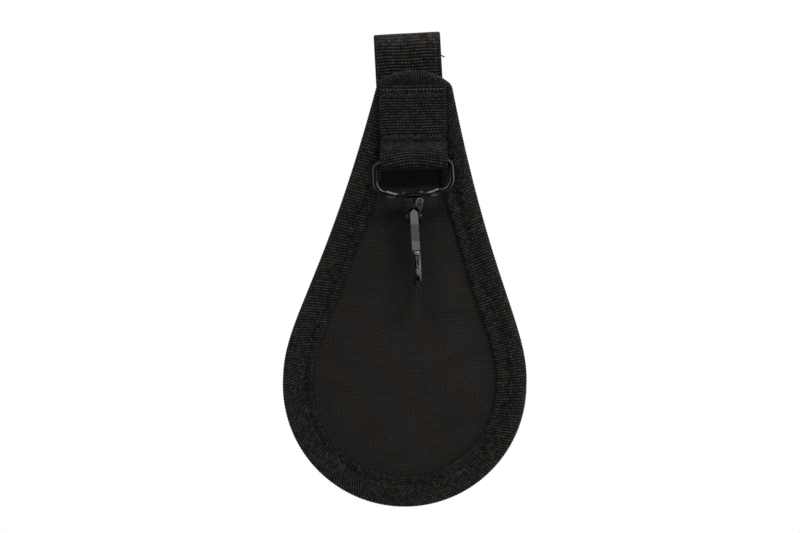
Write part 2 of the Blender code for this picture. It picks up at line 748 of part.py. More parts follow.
def make_hook_body(collection, cutters, steel, hook):
    inner = throat_path()
    outer = offset_path(inner, HOOK_DEPTH)
    outer[-1] = (outer[-1][0], bill_tip(-outer[-1][0], BILL_TIP_RADIUS))
    bow = plate("hook_bow", inner + list(reversed(outer)), HOOK_WIDTH, cutters, None, hook,
                turn=SIDE_TURN)
    bow = made_mesh(bow)
    round_edges(bow, HOOK_EDGE_ROUND)
    groove = inner[:-1] + [(inner[-1][0], inner[-1][1] - HOOK_TIP_WALL)]
    cut(bow, made_mesh(plate("hook_groove", groove_outline(groove), HOOK_GROOVE_WIDTH, cutters,
                             None, hook, turn=SIDE_TURN)))
    outside = head_rings(0, 0, HEAD_TOP, HEAD_BOTTOM, HEAD_REAR)
    head = loft("hook_body", outside, collection, steel, hook)
    cut(head, bow, "UNION")
    cavity_top = HEAD_TOP - HEAD_WALL
    cavity_bottom = HEAD_BOTTOM - CUT_OVERRUN
    cavity = head_rings(HEAD_WALL, HEAD_CHEEK_WALL, cavity_top, cavity_bottom,
                        HOOK_SPINE_TOP_REACH)
    cut(head, loft("head_cavity", cavity, cutters, None, hook))
    top = HEAD_TOP - LOBE_GAP_TOP_DROP
    opened = HEAD_TOP - LOBE_GAP_OPEN_DROP
    slot = GATE_WIDTH / 2 + SEAT_GAP
    gap = ((-slot, cavity_bottom), (slot, cavity_bottom), (slot, opened),
           (LOBE_GAP_TOP_WIDTH / 2, top), (-LOBE_GAP_TOP_WIDTH / 2, top), (-slot, opened))
    inward = HEAD_WALL + HEAD_CORNER_RADIUS
    cut(head, made_mesh(plate("lobe_gap", gap, inward + CUT_OVERRUN, cutters, None, hook,
                              (0, -HEAD_FRONT + (inward - CUT_OVERRUN) / 2, 0))))
    cut(head, rod_cutter("head_post_hole", POST_RADIUS + SEAT_GAP, HEAD_WALL + CUT_OVERRUN,
                         cutters, hook, (0, 0, HEAD_TOP)))
    cut(head, rod_cutter("rivet_holes", RIVET_RADIUS + PIN_GAP, HEAD_HALF_WIDTH * 2, cutters,
                         hook, (0, *RIVET), Euler((0, pi / 2, 0))))
    return head


def make_gate_rivet(collection, steel, hook):
    half = HEAD_CHEEK_HALF_WIDTH + RIVET_PROUD
    rounding = RIVET_END_ROUND
    profile = (
        (0, half),
        (RIVET_RADIUS - rounding, half),
        (RIVET_RADIUS, half - rounding),
        (RIVET_RADIUS, rounding - half),
        (RIVET_RADIUS - rounding, -half),
        (0, -half),
    )
    return turned("gate_rivet", profile, collection, steel, hook, (0, *RIVET),
                  Euler((0, pi / 2, 0)))


def gate_front(height):
    """Reach of the gate's front face, in front of the rivet, at a height from the rivet."""
    fall = (GATE_TOP_RISE - height) / (GATE_TOP_RISE + GATE_LENGTH)
    return RIVET_SET_BACK - GATE_TOP_REACH - (GATE_TIP_REACH - GATE_TOP_REACH) * fall


def make_gate(collection, cutters, steel, hinge):
    """Pressed latch about the rivet: front strip, two ears, and a tongue behind the bill."""
    tongue_front = RIVET_SET_BACK - HOOK_BILL_REACH + SEAT_GAP
    tongue_rear = tongue_front + GATE_TONGUE_THICKNESS
    tip_rear = -sqrt(GATE_TIP_RADIUS ** 2 - tongue_front ** 2)
    tongue_end = tip_rear - GATE_TONGUE_LENGTH
    ear = []
    for step in range(ARC_STEPS + 1):
        angle = -pi / 6 + (pi / 2 + pi / 6) * step / ARC_STEPS
        ear.append((GATE_EAR_RADIUS * cos(angle), GATE_EAR_RADIUS * sin(angle)))
    outline = [
        (gate_front(GATE_TOP_RISE), GATE_TOP_RISE),
        (gate_front(-GATE_LENGTH), -GATE_LENGTH),
        (tongue_front, tip_rear),
        (tongue_front, tongue_end),
        (tongue_rear, tongue_end),
        (tongue_rear, -GATE_LENGTH / 2),
    ] + ear + [(gate_front(GATE_TOP_RISE) + GATE_SHEET, GATE_TOP_RISE)]
    gate = made_mesh(plate("gate", outline, GATE_WIDTH, collection, steel, hinge,
                           turn=SIDE_TURN))
    pocket_low = -GATE_LENGTH + GATE_TIP_DEPTH / 2
    pocket = [
        (gate_front(GATE_TOP_RISE) + GATE_SHEET, GATE_TOP_RISE + CUT_OVERRUN),
        (gate_front(pocket_low) + GATE_SHEET, pocket_low),
        (GATE_EAR_RADIUS + CUT_OVERRUN, pocket_low),
        (GATE_EAR_RADIUS + CUT_OVERRUN, GATE_TOP_RISE + CUT_OVERRUN),
    ]
    inner_width = GATE_WIDTH - 2 * GATE_SIDE_WALL
    cut(gate, made_mesh(plate("gate_pocket", pocket, inner_width, cutters, None, hinge,
                              turn=SIDE_TURN)))
    half = GATE_WIDTH / 2
    wide = half + CUT_OVERRUN
    point = [
        (-wide, tongue_end - CUT_OVERRUN),
        (wide, tongue_end - CUT_OVERRUN),
        (wide, GATE_TOP_RISE - GATE_POINT_HEIGHT * wide / half),
        (0, GATE_TOP_RISE),
        (-wide, GATE_TOP_RISE - GATE_POINT_HEIGHT * wide / half),
    ]
    cut(gate, made_mesh(plate("gate_point", point, HEAD_FRONT * 4, cutters, None, hinge)),
        "INTERSECT")
    cut(gate, rod_cutter("gate_bore", RIVET_RADIUS + PIN_GAP, GATE_WIDTH * 2, cutters, hinge,
                         (0, 0, 0), Euler((0, pi / 2, 0))))
    return gate


def make_gate_spring(collection, steel, hook):
    """Coil about the rivet with a leg down inside the gate and a leg against the head's back."""
    front_angle = pi
    turn_angle = 2 * pi * SPRING_TURNS
    steps = round(SPRING_TURNS * COIL_STEPS)
    side = -SPRING_PITCH * SPRING_TURNS / 2
    coil = []
    for step in range(steps + 1):
        angle = front_angle + turn_angle * step / steps
        coil.append((side + SPRING_PITCH * SPRING_TURNS * step / steps,
                     RIVET[0] + SPRING_COIL_RADIUS * cos(angle),
                     RIVET[1] + SPRING_COIL_RADIUS * sin(angle)))
    lean = (GATE_TIP_REACH - GATE_TOP_REACH) / (GATE_TOP_RISE + GATE_LENGTH)
    front_start = Vector(coil[0])
    front_leg = front_start + Vector((0, -lean, -1)) * SPRING_FRONT_LEG
    rear_start = Vector(coil[-1])
    rear_leg = rear_start + Vector((0, SPRING_REAR_LEG / 2, SPRING_REAR_LEG))
    points = [tuple(front_leg)] + coil + [tuple(rear_leg)]
    return wire("gate_spring", points, SPRING_WIRE_RADIUS, collection, steel, hook, sides=1)


def spring_gap():
    """Least free gap between neighbouring turns of the spring."""
    return SPRING_PITCH - 2 * SPRING_WIRE_RADIUS


def printed(vector):
    return tuple(round(value, 6) for value in vector)


def hinge_empty(name, parent, location, turn=None):
    empty = bpy.data.objects.new(name, None)
    bpy.context.scene.collection.objects.link(empty)
    empty.parent = parent
    empty.location = location
    if turn is not None:
        empty.rotation_euler = turn
    return empty


def leaned_empty(name, parent, height, lean):
    """Empty whose children lean sideways about a point on the parent's Z axis."""
    pivot = Vector((0, 0, height))
    turn = Euler((0, -lean, 0))
    return hinge_empty(name, parent, pivot - turn.to_matrix() @ pivot, turn)


def build():
    clear_scene()
    parts = new_collection("key_holder")
    cutters = new_collection("cutters")
    pad_fabric = finish_material("pad_fabric", (0.016, 0.015, 0.014), 0.85)
    binding_tape = finish_material("binding_tape", (0.011, 0.011, 0.010), 0.75)
    webbing = finish_material("webbing", (0.012, 0.011, 0.010), 0.7)
    foam = finish_material("foam", (0.05, 0.05, 0.05), 0.95)
    board = finish_material("board", (0.08, 0.08, 0.08), 0.6)
    black_steel = finish_material("black_steel", (0.02, 0.02, 0.02), 0.35, 0.9)
    satin_steel = finish_material("satin_steel", (0.09, 0.09, 0.088), 0.4, 1.0)
    spring_steel = finish_material("spring_steel", (0.2, 0.2, 0.2), 0.35, 1.0)

    make_back_panel(parts, pad_fabric)
    make_stiffener_board(parts, board)
    make_foam_core(parts, foam)
    make_front_panel(parts, pad_fabric)
    make_edge_binding(parts, binding_tape)
    make_belt_loop(parts, webbing)

    seat = leaned_empty("strap_seat", None, -STRAP_LEAN_DROP, STRAP_LEAN)
    make_hook_strap(parts, webbing, seat)

    bail = hinge_empty("bail_axis", seat, (BAIL_OFFSET, BAIL_AXIS_Y, BAIL_AXIS),
                       Euler((-rest_tilt(), -bail_lean(), 0)))
    make_bail_wire(parts, black_steel, bail)
    middle = hinge_empty("saddle_seat", bail, (SADDLE_OFFSET, 0, 0))
    make_bail_saddle(parts, cutters, black_steel, middle)
    make_swivel_post(parts, black_steel, middle)
    make_swivel_washer(parts, black_steel, middle)

    pivot = HEAD_TOP - HEAD_WALL / 2
    hook = leaned_empty("swivel_axis", middle, pivot, HOOK_LEAN)
    make_hook_body(parts, cutters, black_steel, hook)
    make_gate_rivet(parts, black_steel, hook)
    make_gate_spring(parts, spring_steel, hook)
    hinge = hinge_empty("gate_axis", hook, (0, *RIVET))
    make_gate(parts, cutters, satin_steel, hinge)

    bpy.context.view_layer.update()
    lean = STRAP_LEAN + bail_lean() + HOOK_LEAN
    print("rest tilt and lean in degrees", round(rest_tilt() * 180 / pi, 3),
          round(lean * 180 / pi, 3))
    print("bail hinge at", printed(bail.matrix_world.translation),
          "along", printed(-bail.matrix_world.col[0].xyz))
    print("swivel at", printed(middle.matrix_world @ Vector((0, 0, pivot))),
          "along", printed(hook.matrix_world.col[2].xyz))
    print("gate hinge at", printed(hinge.matrix_world.translation),
          "along", printed(hinge.matrix_world.col[0].xyz))
    print("least gap between spring turns", round(spring_gap(), 6))


build()
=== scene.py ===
# %% [markdown]
# # A padded key holder for a wide belt
# The object is a teardrop pad of black nylon. Ribbed tape is folded round its edge, a webbing
# loop on its back slides over a belt, and a short strap on its front carries a swivel hook.
# The engineering model is already built to size, so this script only dresses it: it loads that
# model as a fixed frame, makes the soft pieces again with real cloth detail, and gives every
# piece its finish.

# %% Load the frame
import json
from contextlib import contextmanager
from math import atan2, cos, degrees, pi, radians, sin, sqrt, tan

import bmesh
import bpy
import numpy as np
from mathutils import Matrix, Vector
from mathutils.geometry import delaunay_2d_cdt


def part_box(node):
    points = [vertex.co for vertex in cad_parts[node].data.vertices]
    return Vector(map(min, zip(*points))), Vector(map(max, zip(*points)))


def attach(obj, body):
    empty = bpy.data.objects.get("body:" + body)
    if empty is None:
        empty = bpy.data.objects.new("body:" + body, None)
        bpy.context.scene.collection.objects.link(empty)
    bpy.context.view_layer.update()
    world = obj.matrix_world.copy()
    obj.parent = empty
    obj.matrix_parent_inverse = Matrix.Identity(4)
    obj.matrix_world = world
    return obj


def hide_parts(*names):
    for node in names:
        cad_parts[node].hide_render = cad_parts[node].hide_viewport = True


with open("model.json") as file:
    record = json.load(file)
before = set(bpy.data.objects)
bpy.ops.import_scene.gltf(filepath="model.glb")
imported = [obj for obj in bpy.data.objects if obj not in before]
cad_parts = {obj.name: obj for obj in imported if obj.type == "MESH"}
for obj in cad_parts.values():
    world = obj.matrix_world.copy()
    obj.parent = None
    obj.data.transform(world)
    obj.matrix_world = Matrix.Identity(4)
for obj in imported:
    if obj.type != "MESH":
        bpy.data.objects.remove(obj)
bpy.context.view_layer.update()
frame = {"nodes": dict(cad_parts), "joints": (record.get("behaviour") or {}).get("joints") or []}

MM = 0.001

# %% [markdown]
# ## Camera
# The photograph is a frontal product shot taken with a long lens, so nothing converges. One
# pixel covers 0.38 mm at the pad. A perspective camera far away with a long lens gives the same
# flat view. The holder hangs a little askew, and rolling the camera is the simplest way to show
# that without moving the model.

# %% Camera
PHOTO_WIDTH = 800
PIXEL = 0.3782 * MM
VIEW_DISTANCE = 1.8
AIM = Vector((-3.25, -13, -87.5)) * MM
CAMERA_ROLL = radians(1.91)


def in_scene(name, data):
    """A new object that holds this data, in the scene."""
    made = bpy.data.objects.new(name, data)
    bpy.context.scene.collection.objects.link(made)
    return made


camera_data = bpy.data.cameras.new("product_camera")
camera_data.sensor_width = 36
camera_data.lens = camera_data.sensor_width * VIEW_DISTANCE / (PHOTO_WIDTH * PIXEL)
camera_data.clip_end = 20
camera = in_scene("product_camera", camera_data)
camera.location = AIM - Vector((0, VIEW_DISTANCE, 0))
camera.rotation_euler = (pi / 2, -CAMERA_ROLL, 0)
bpy.context.scene.camera = camera
print("lens in mm:", round(camera_data.lens, 1))

# %% [markdown]
# ## Light
# Black cloth needs a plain light, or its weave turns to glare. The world gives an even light to
# the cloth, and it looks white to the camera and in reflections, so the metal gets the bright
# rims that a white studio gives. Two lamps stand high on both sides of the camera for the
# shading from above, a large one fills from the right, and one behind lights the back, which
# the camera only sees when the holder is turned.

# %% World
WORLD_LEVEL = 0.09


def add_node(tree, kind, inputs=None, **settings):
    """A new node with its properties set and its inputs linked or given plain values."""
    node = tree.nodes.new(kind)
    for name, value in settings.items():
        setattr(node, name, value)
    for name, value in (inputs or {}).items():
        feed(tree, value, node.inputs[name])
    return node


def feed(tree, value, socket):
    """Link a socket, or set a plain value."""
    if isinstance(value, bpy.types.NodeSocket):
        tree.links.new(value, socket)
    else:
        socket.default_value = value


def maths(tree, operation, *values):
    """A Math node whose inputs may be sockets or numbers."""
    node = add_node(tree, "ShaderNodeMath", operation=operation)
    for value, socket in zip(values, node.inputs):
        feed(tree, value, socket)
    return node.outputs[0]


world = bpy.data.worlds.new("studio")
world.use_nodes = True
bpy.context.scene.world = world
tree = world.node_tree
tree.nodes.clear()
path = add_node(tree, "ShaderNodeLightPath").outputs
mirrored = maths(tree, "MAXIMUM", path["Is Glossy Ray"], path["Is Transmission Ray"])
seen = maths(tree, "MAXIMUM", path["Is Camera Ray"], mirrored)
level = add_node(tree, "ShaderNodeMapRange", {"Value": seen, "To Min": WORLD_LEVEL, "To Max": 1})
background = add_node(tree, "ShaderNodeBackground",
                      {"Color": (1, 1, 1, 1), "Strength": level.outputs["Result"]})
add_node(tree, "ShaderNodeOutputWorld", {"Surface": background.outputs["Background"]})

# %% Lamps
# Each lamp's place and size in metres, and its power.
LAMPS = {
    "key_left": ((-0.55, -0.95, 1.20), 0.45, 7.0),
    "key_right": ((0.50, -0.95, 1.20), 0.45, 11.4),
    "fill_lamp": ((1.25, -0.45, 0.30), 1.35, 7.0),
    "back_lamp": ((0.35, 1.20, 0.75), 0.90, 12),
}

for name, (place, size, power) in LAMPS.items():
    lamp_data = bpy.data.lights.new(name, "AREA")
    lamp_data.size = size
    lamp_data.energy = power
    lamp = in_scene(name, lamp_data)
    lamp.location = place
    lamp.rotation_euler = (AIM - Vector(place)).to_track_quat("-Z", "Y").to_euler()
bpy.context.scene.view_settings.view_transform = "Standard"
print("lamps:", ", ".join(LAMPS))

# %% [markdown]
# ## Floor
# The holder hangs, so the floor lies some way below it, out of the camera's sight. It only
# shows in views from above, where it catches a soft shadow.

# %% Floor
FLOOR_DROP = 0.26
FLOOR_RADIUS = 0.6
PAPER_WHITE = (0.86, 0.86, 0.86)
PAPER_ROUGHNESS = 0.9


@contextmanager
def shaping(mesh):
    """The mesh as a form to work on; the result goes back into the mesh."""
    form = bmesh.new()
    form.from_mesh(mesh)
    yield form
    form.to_mesh(mesh)
    form.free()


def new_finish(name, colour, roughness, specular=0.5, metallic=0.0, sheen=0.0):
    """A material with its Principled shader set; returns material, tree and shader."""
    material = bpy.data.materials.new(name)
    material.use_nodes = True
    material.diffuse_color = (*colour, 1)
    shader = material.node_tree.nodes["Principled BSDF"]
    for socket, value in (("Base Color", (*colour, 1)), ("Roughness", roughness), ("Metallic", metallic),
                          ("Specular IOR Level", specular), ("Sheen Weight", sheen),
                          ("Sheen Roughness", 0.45)):
        shader.inputs[socket].default_value = value
    return material, material.node_tree, shader


floor_mesh = bpy.data.meshes.new("floor")
with shaping(floor_mesh) as form:
    bmesh.ops.create_circle(form, cap_ends=True, segments=96, radius=FLOOR_RADIUS)
floor = in_scene("floor", floor_mesh)
floor.location = (0, 0, -FLOOR_DROP)
floor_mesh.materials.append(new_finish("floor_paper", PAPER_WHITE, PAPER_ROUGHNESS)[0])
print("floor", round(FLOOR_DROP / MM), "mm below the belt's edge")

# %% [markdown]
# ## Cloth effects as shader groups
# All the cloth here is the same black nylon in different weaves. A node group holds each effect
# once, and every material places it with its own values. The first group is a plain weave: each
# crossing has one yarn on top, and the top yarn swaps from crossing to crossing like the fields
# of a chess board. A yarn is round across and arched along, so the product of two sines gives
# its height.


# %% Group helpers
def new_group(name, inputs, outputs):
    """An empty shader group with float sockets; a vector socket is named Vector."""
    group = bpy.data.node_groups.new(name, "ShaderNodeTree")
    for socket, value in inputs.items():
        kind = "NodeSocketVector" if socket == "Vector" else "NodeSocketFloat"
        made = group.interface.new_socket(name=socket, in_out="INPUT", socket_type=kind)
        if kind == "NodeSocketFloat":
            made.default_value = value
    for socket in outputs:
        group.interface.new_socket(name=socket, in_out="OUTPUT", socket_type="NodeSocketFloat")
    entry = add_node(group, "NodeGroupInput")
    leave = add_node(group, "NodeGroupOutput")
    return group, entry.outputs, leave.inputs


def place_group(tree, group, **values):
    """Put a group in a material and feed its inputs."""
    inputs = {name.replace("_", " "): value for name, value in values.items()}
    return add_node(tree, "ShaderNodeGroup", inputs, node_tree=group).outputs


def noise(tree, vector, scale, detail):
    """A noise value between 0 and 1."""
    inputs = {"Vector": vector, "Scale": scale, "Detail": detail}
    return add_node(tree, "ShaderNodeTexNoise", inputs).outputs["Fac"]


def mixed(tree, factor, low, high):
    """A number that goes from one value to another."""
    return add_node(tree, "ShaderNodeMix", {"Factor": factor, "A": low, "B": high}).outputs["Result"]


# %% Plain weave group
YARN_WANDER = 0.55
YARN_WANDER_SCALE = 260
ARCH_HEIGHT = 0.55
YARN_ROUNDNESS = 0.7

plain_weave, into, out = new_group(
    "plain_weave", {"Vector": None, "Across": 0, "Along": 0, "Pitch": 0.5 * MM},
    ("Height", "Float"))
tree = plain_weave
unevenness = noise(tree, into["Vector"], YARN_WANDER_SCALE, 1)
wander = maths(tree, "SUBTRACT", unevenness, 0.5)
shift = maths(tree, "MULTIPLY", wander, YARN_WANDER)
waves = []
for side in ("Across", "Along"):
    turns = maths(tree, "ADD", maths(tree, "DIVIDE", into[side], into["Pitch"]), shift)
    waves.append(maths(tree, "SINE", maths(tree, "MULTIPLY", turns, pi)))
crests = [maths(tree, "ABSOLUTE", wave) for wave in waves]
on_top = maths(tree, "GREATER_THAN", maths(tree, "MULTIPLY", *waves), 0)
heights = []
for round_side, long_side in (crests, reversed(crests)):
    arch = maths(tree, "MULTIPLY_ADD", long_side, ARCH_HEIGHT, 1 - ARCH_HEIGHT)
    heights.append(maths(tree, "MULTIPLY", maths(tree, "POWER", round_side, YARN_ROUNDNESS), arch))
feed(tree, mixed(tree, on_top, heights[1], heights[0]), out["Height"])
feed(tree, on_top, out["Float"])
print("group", plain_weave.name, "with", len(plain_weave.nodes), "nodes")

# %% [markdown]
# The second group is the spun yarn that every rib, tape and thread is made of: fine fibres that
# run along the yarn. Noise that is stretched along one direction looks like fibres. The third
# one is the slow change of tone that any black cloth has, from handling and from lint.

# %% Yarn and tone groups
def split(tree, vector):
    """The X, Y and Z parts of a vector."""
    return add_node(tree, "ShaderNodeSeparateXYZ", {"Vector": vector}).outputs


def joined(tree, **parts):
    """A vector from its X, Y and Z parts."""
    return add_node(tree, "ShaderNodeCombineXYZ", parts).outputs["Vector"]


def two_noises(tree, into, finer, share):
    """Noise of a group's patch size with a share of finer noise in it."""
    broad = noise(tree, into["Vector"], maths(tree, "DIVIDE", 1, into["Patch"]), 3)
    fine = noise(tree, into["Vector"], maths(tree, "DIVIDE", finer, into["Patch"]), 2)
    return maths(tree, "MULTIPLY_ADD", broad, 1 - share, maths(tree, "MULTIPLY", fine, share))


spun_yarn, into, out = new_group(
    "spun_yarn", {"Vector": None, "Fibre": 0.08 * MM, "Stretch": 6.0}, ("Height",))
tree = spun_yarn
parts = split(tree, into["Vector"])
drawn = joined(tree, X=maths(tree, "DIVIDE", parts["X"], into["Stretch"]), Y=parts["Y"], Z=parts["Z"])
feed(tree, noise(tree, drawn, maths(tree, "DIVIDE", 1, into["Fibre"]), 3), out["Height"])

cloth_tone, into, out = new_group(
    "cloth_tone", {"Vector": None, "Patch": 12 * MM, "Depth": 0.25}, ("Tone",))
tree = cloth_tone
patches = maths(tree, "SUBTRACT", two_noises(tree, into, 14, 0.4), 0.5)
swing = maths(tree, "MULTIPLY", patches, into["Depth"])
feed(tree, maths(tree, "MULTIPLY_ADD", swing, 2, 1), out["Tone"])
print("groups", spun_yarn.name, "and", cloth_tone.name)

# %% [markdown]
# The fourth group is the weave of webbing and tape. Thick weft yarns make ribs across the band,
# and the warp yarns that pass over them break each rib into beads. A rib's number and a bead's
# number name one bead, and a random value for that pair makes some beads catch more light than
# others, as they do on real webbing.

# %% Ribbed weave group
BEAD_SLIP = 0.5
BEAD_ROUNDNESS = 0.9

ribbed_weave, into, out = new_group(
    "ribbed_weave", {"Along": 0, "Across": 0, "Rib Pitch": MM, "Bead Pitch": MM, "Bead Depth": 0.6,
                     "Narrowness": 1.5}, ("Height", "Level"))
tree = ribbed_weave


def crest(tree, turns, power):
    """1 in the middle of each whole turn, 0 between turns."""
    wave = maths(tree, "SINE", maths(tree, "MULTIPLY", turns, pi))
    return maths(tree, "POWER", maths(tree, "ABSOLUTE", wave), power)


def random_pair(tree, first, second):
    """A random value between 0 and 1 for a pair of whole numbers."""
    pair = joined(tree, X=first, Y=second)
    node = add_node(tree, "ShaderNodeTexWhiteNoise", {"Vector": pair}, noise_dimensions="2D")
    return node.outputs["Value"]


turns = maths(tree, "DIVIDE", into["Along"], into["Rib Pitch"])
row = maths(tree, "FLOOR", turns)
slip = maths(tree, "MULTIPLY", random_pair(tree, row, 0), BEAD_SLIP)
cells = maths(tree, "ADD", maths(tree, "DIVIDE", into["Across"], into["Bead Pitch"]), slip)
beads = crest(tree, cells, BEAD_ROUNDNESS)
gap = maths(tree, "MULTIPLY", into["Bead Depth"], maths(tree, "SUBTRACT", 1, beads))
share = maths(tree, "SUBTRACT", 1, gap)
feed(tree, maths(tree, "MULTIPLY", crest(tree, turns, into["Narrowness"]), share), out["Height"])
feed(tree, random_pair(tree, row, maths(tree, "FLOOR", cells)), out["Level"])
print("group", ribbed_weave.name, "with", len(ribbed_weave.nodes), "nodes")

# %% [markdown]
# ## Cloth materials
# A nylon yarn is smooth, so it glints a little where it bends, yet the cloth as a whole stays
# matt. A low specular level with middling roughness and a touch of sheen gives that. The colour
# is the photograph's warm black, multiplied by the tone group and by painted shade where the weave dips.


# %% Cloth material helpers
def object_spot(tree):
    """The surface point in the object's own coordinates."""
    return add_node(tree, "ShaderNodeTexCoord").outputs["Object"]


def scaled(tree, value, gain, base):
    """A value times a gain, on top of a base."""
    return maths(tree, "MULTIPLY_ADD", value, gain, base)


def shade(tree, shader, colour, *factors):
    """Base colour times factors that vary over the surface."""
    factor = factors[0]
    for other in factors[1:]:
        factor = maths(tree, "MULTIPLY", factor, other)
    tinted = add_node(tree, "ShaderNodeVectorMath", {0: colour, "Scale": factor}, operation="SCALE")
    feed(tree, tinted.outputs["Vector"], shader.inputs["Base Color"])


def bump(tree, shader, height, depth, strength, **onto):
    """Bump from a height between 0 and 1 that stands for a depth in metres."""
    inputs = {"Height": height, "Distance": depth, "Strength": strength, **onto}
    normal = add_node(tree, "ShaderNodeBump", inputs).outputs["Normal"]
    feed(tree, normal, shader.inputs["Normal"])
    return normal


# %% Pad cloth
PAD_CLOTH = (0.0156, 0.0139, 0.0124)
WEAVE_PITCH = 0.50 * MM
WEAVE_ROW = 0.74 * MM

pad_cloth, tree, shader = new_finish("pad_cloth", PAD_CLOTH, 0.7, specular=0.05, sheen=0.01)
spot = object_spot(tree)
parts = split(tree, spot)
along = maths(tree, "MULTIPLY", parts["Z"], WEAVE_PITCH / WEAVE_ROW)
weave = place_group(tree, plain_weave, Vector=spot, Across=parts["X"], Along=along, Pitch=WEAVE_PITCH)
tone = place_group(tree, cloth_tone, Vector=spot, Patch=14 * MM, Depth=0.3)["Tone"]
# Painted shade: the colour is darkened where the weave dips.
dip = scaled(tree, maths(tree, "POWER", weave["Height"], 2.2), 2.6, 0.22)
floats = scaled(tree, weave["Float"], 0.9, 0.55)
shade(tree, shader, PAD_CLOTH, tone, dip, floats)
bump(tree, shader, weave["Height"], 0.16 * MM, 0.9)
print("pad cloth woven at", round(WEAVE_PITCH / MM, 2), "mm")

# %% Tones and pitches of webbing, tape and thread
LOOP_BLACK = (0.0156, 0.0140, 0.0126)
STRAP_BLACK = (0.0105, 0.0095, 0.0085)
TAPE_BLACK = (0.0117, 0.0106, 0.0093)
THREAD_BLACK = (0.0140, 0.0127, 0.0115)
SEAM_BLACK = (0.0062, 0.0057, 0.0053)
# A pale grey for yarn: a painted glint on two rows of yarn.
GLINT_GREY = (0.0850, 0.0790, 0.0720)
LOOP_RIB_PITCH = 1.19 * MM
STRAP_RIB_PITCH = 1.02 * MM
TAPE_RIB_PITCH = 1.12 * MM
TWILL_PITCH = 1.45 * MM
CRUSH_PATCH = 1.5 * MM
GROOVE_SHADE = 0.07


# %% Ribbed cloth
def reads(tree, name):
    """An attribute of the mesh as a number."""
    return add_node(tree, "ShaderNodeAttribute", attribute_name=name).outputs["Fac"]


def woven_finish(name, colour, rib_pitch, bead_pitch, bead_depth, narrowness, shade_contrast):
    """Ribbed cloth with painted shade in its grooves; reads the cloth's UV in metres, how sewn or
    twilled each point is, and how much painted light it gets.
    """
    material, tree, shader = new_finish(name, colour, 0.68, specular=0.06, sheen=0.01)
    texture = add_node(tree, "ShaderNodeTexCoord").outputs
    parts = split(tree, texture["UV"])
    weave = place_group(tree, ribbed_weave, Along=parts["X"], Across=parts["Y"], Rib_Pitch=rib_pitch,
                        Bead_Pitch=bead_pitch, Bead_Depth=bead_depth, Narrowness=narrowness)
    diagonal = maths(tree, "DIVIDE", maths(tree, "SUBTRACT", parts["X"], parts["Y"]), TWILL_PITCH)
    height = mixed(tree, reads(tree, "twill"), weave["Height"], crest(tree, diagonal, 2.2))
    rough_patch = noise(tree, texture["Object"], 1 / CRUSH_PATCH, 2)
    crushed = maths(tree, "MULTIPLY", height, scaled(tree, rough_patch, 4.4, -1.6))
    pressed = mixed(tree, reads(tree, "sewn"), height, maths(tree, "MAXIMUM", crushed, 0))
    smooth = mixed(tree, reads(tree, "worn"), pressed, scaled(tree, pressed, 0.5, 0.42))
    yarn = place_group(tree, spun_yarn, Vector=texture["UV"], Fibre=0.15 * MM)["Height"]
    tone = place_group(tree, cloth_tone, Vector=texture["Object"], Patch=10 * MM, Depth=0.26)["Tone"]
    # Painted shade: the colour is darkened in the grooves between ribs and beads, as far as
    # shade_contrast and GROOVE_SHADE set.
    shade(tree, shader, colour, tone, scaled(tree, yarn, 0.9, 0.55),
          scaled(tree, weave["Level"], 1.1, 0.45),
          scaled(tree, maths(tree, "POWER", smooth, 1.5), shade_contrast, GROOVE_SHADE))
    fibres = bump(tree, shader, yarn, 0.04 * MM, 0.6)
    bump(tree, shader, smooth, 0.14 * MM, 0.8, Normal=fibres)
    return material


# %% Thread
def spun_finish(name, colour, specular=0.15):
    """Twisted thread whose tone changes from stitch to stitch."""
    material, tree, shader = new_finish(name, colour, 0.5, specular=specular)
    spot = object_spot(tree)
    twist = place_group(tree, spun_yarn, Vector=spot, Fibre=0.1 * MM, Stretch=1.5)["Height"]
    patches = place_group(tree, cloth_tone, Vector=spot, Patch=2.5 * MM, Depth=1.4)["Tone"]
    shade(tree, shader, colour, patches, scaled(tree, twist, 0.9, 0.55))
    bump(tree, shader, twist, 0.03 * MM, 0.7)
    return material


# %% Webbing, tape and thread finishes
loop_finish = woven_finish("loop_webbing", LOOP_BLACK, LOOP_RIB_PITCH, 1.2 * MM, 0.75, 1.3, 3.1)
strap_finish = woven_finish("strap_webbing", STRAP_BLACK, STRAP_RIB_PITCH, 1.25 * MM, 0.65, 1.9, 3.9)
tape_finish = woven_finish("binding_tape", TAPE_BLACK, TAPE_RIB_PITCH, 0.95 * MM, 0.78, 1.6, 3.9)
thread_finish = spun_finish("bonded_thread", THREAD_BLACK)
seam_finish = spun_finish("seam_thread", SEAM_BLACK, specular=0.03)
# Painted glint: this yarn is painted pale.
glint_yarn_finish = spun_finish("painted_glint_yarn", GLINT_GREY)
print("cloth finishes:", ", ".join(material.name for material in (
    pad_cloth, loop_finish, strap_finish, tape_finish, thread_finish, seam_finish, glint_yarn_finish)))

# %% [markdown]
# ## Turning rows of points into a skin
# Webbing, tape and panels are all grids: so many rows along, so many points across. One helper
# turns such a grid into a closed mesh with a UV map in real metres, along the piece in U and
# across it in V, and keeps what the finish needs to know of each point as attributes.


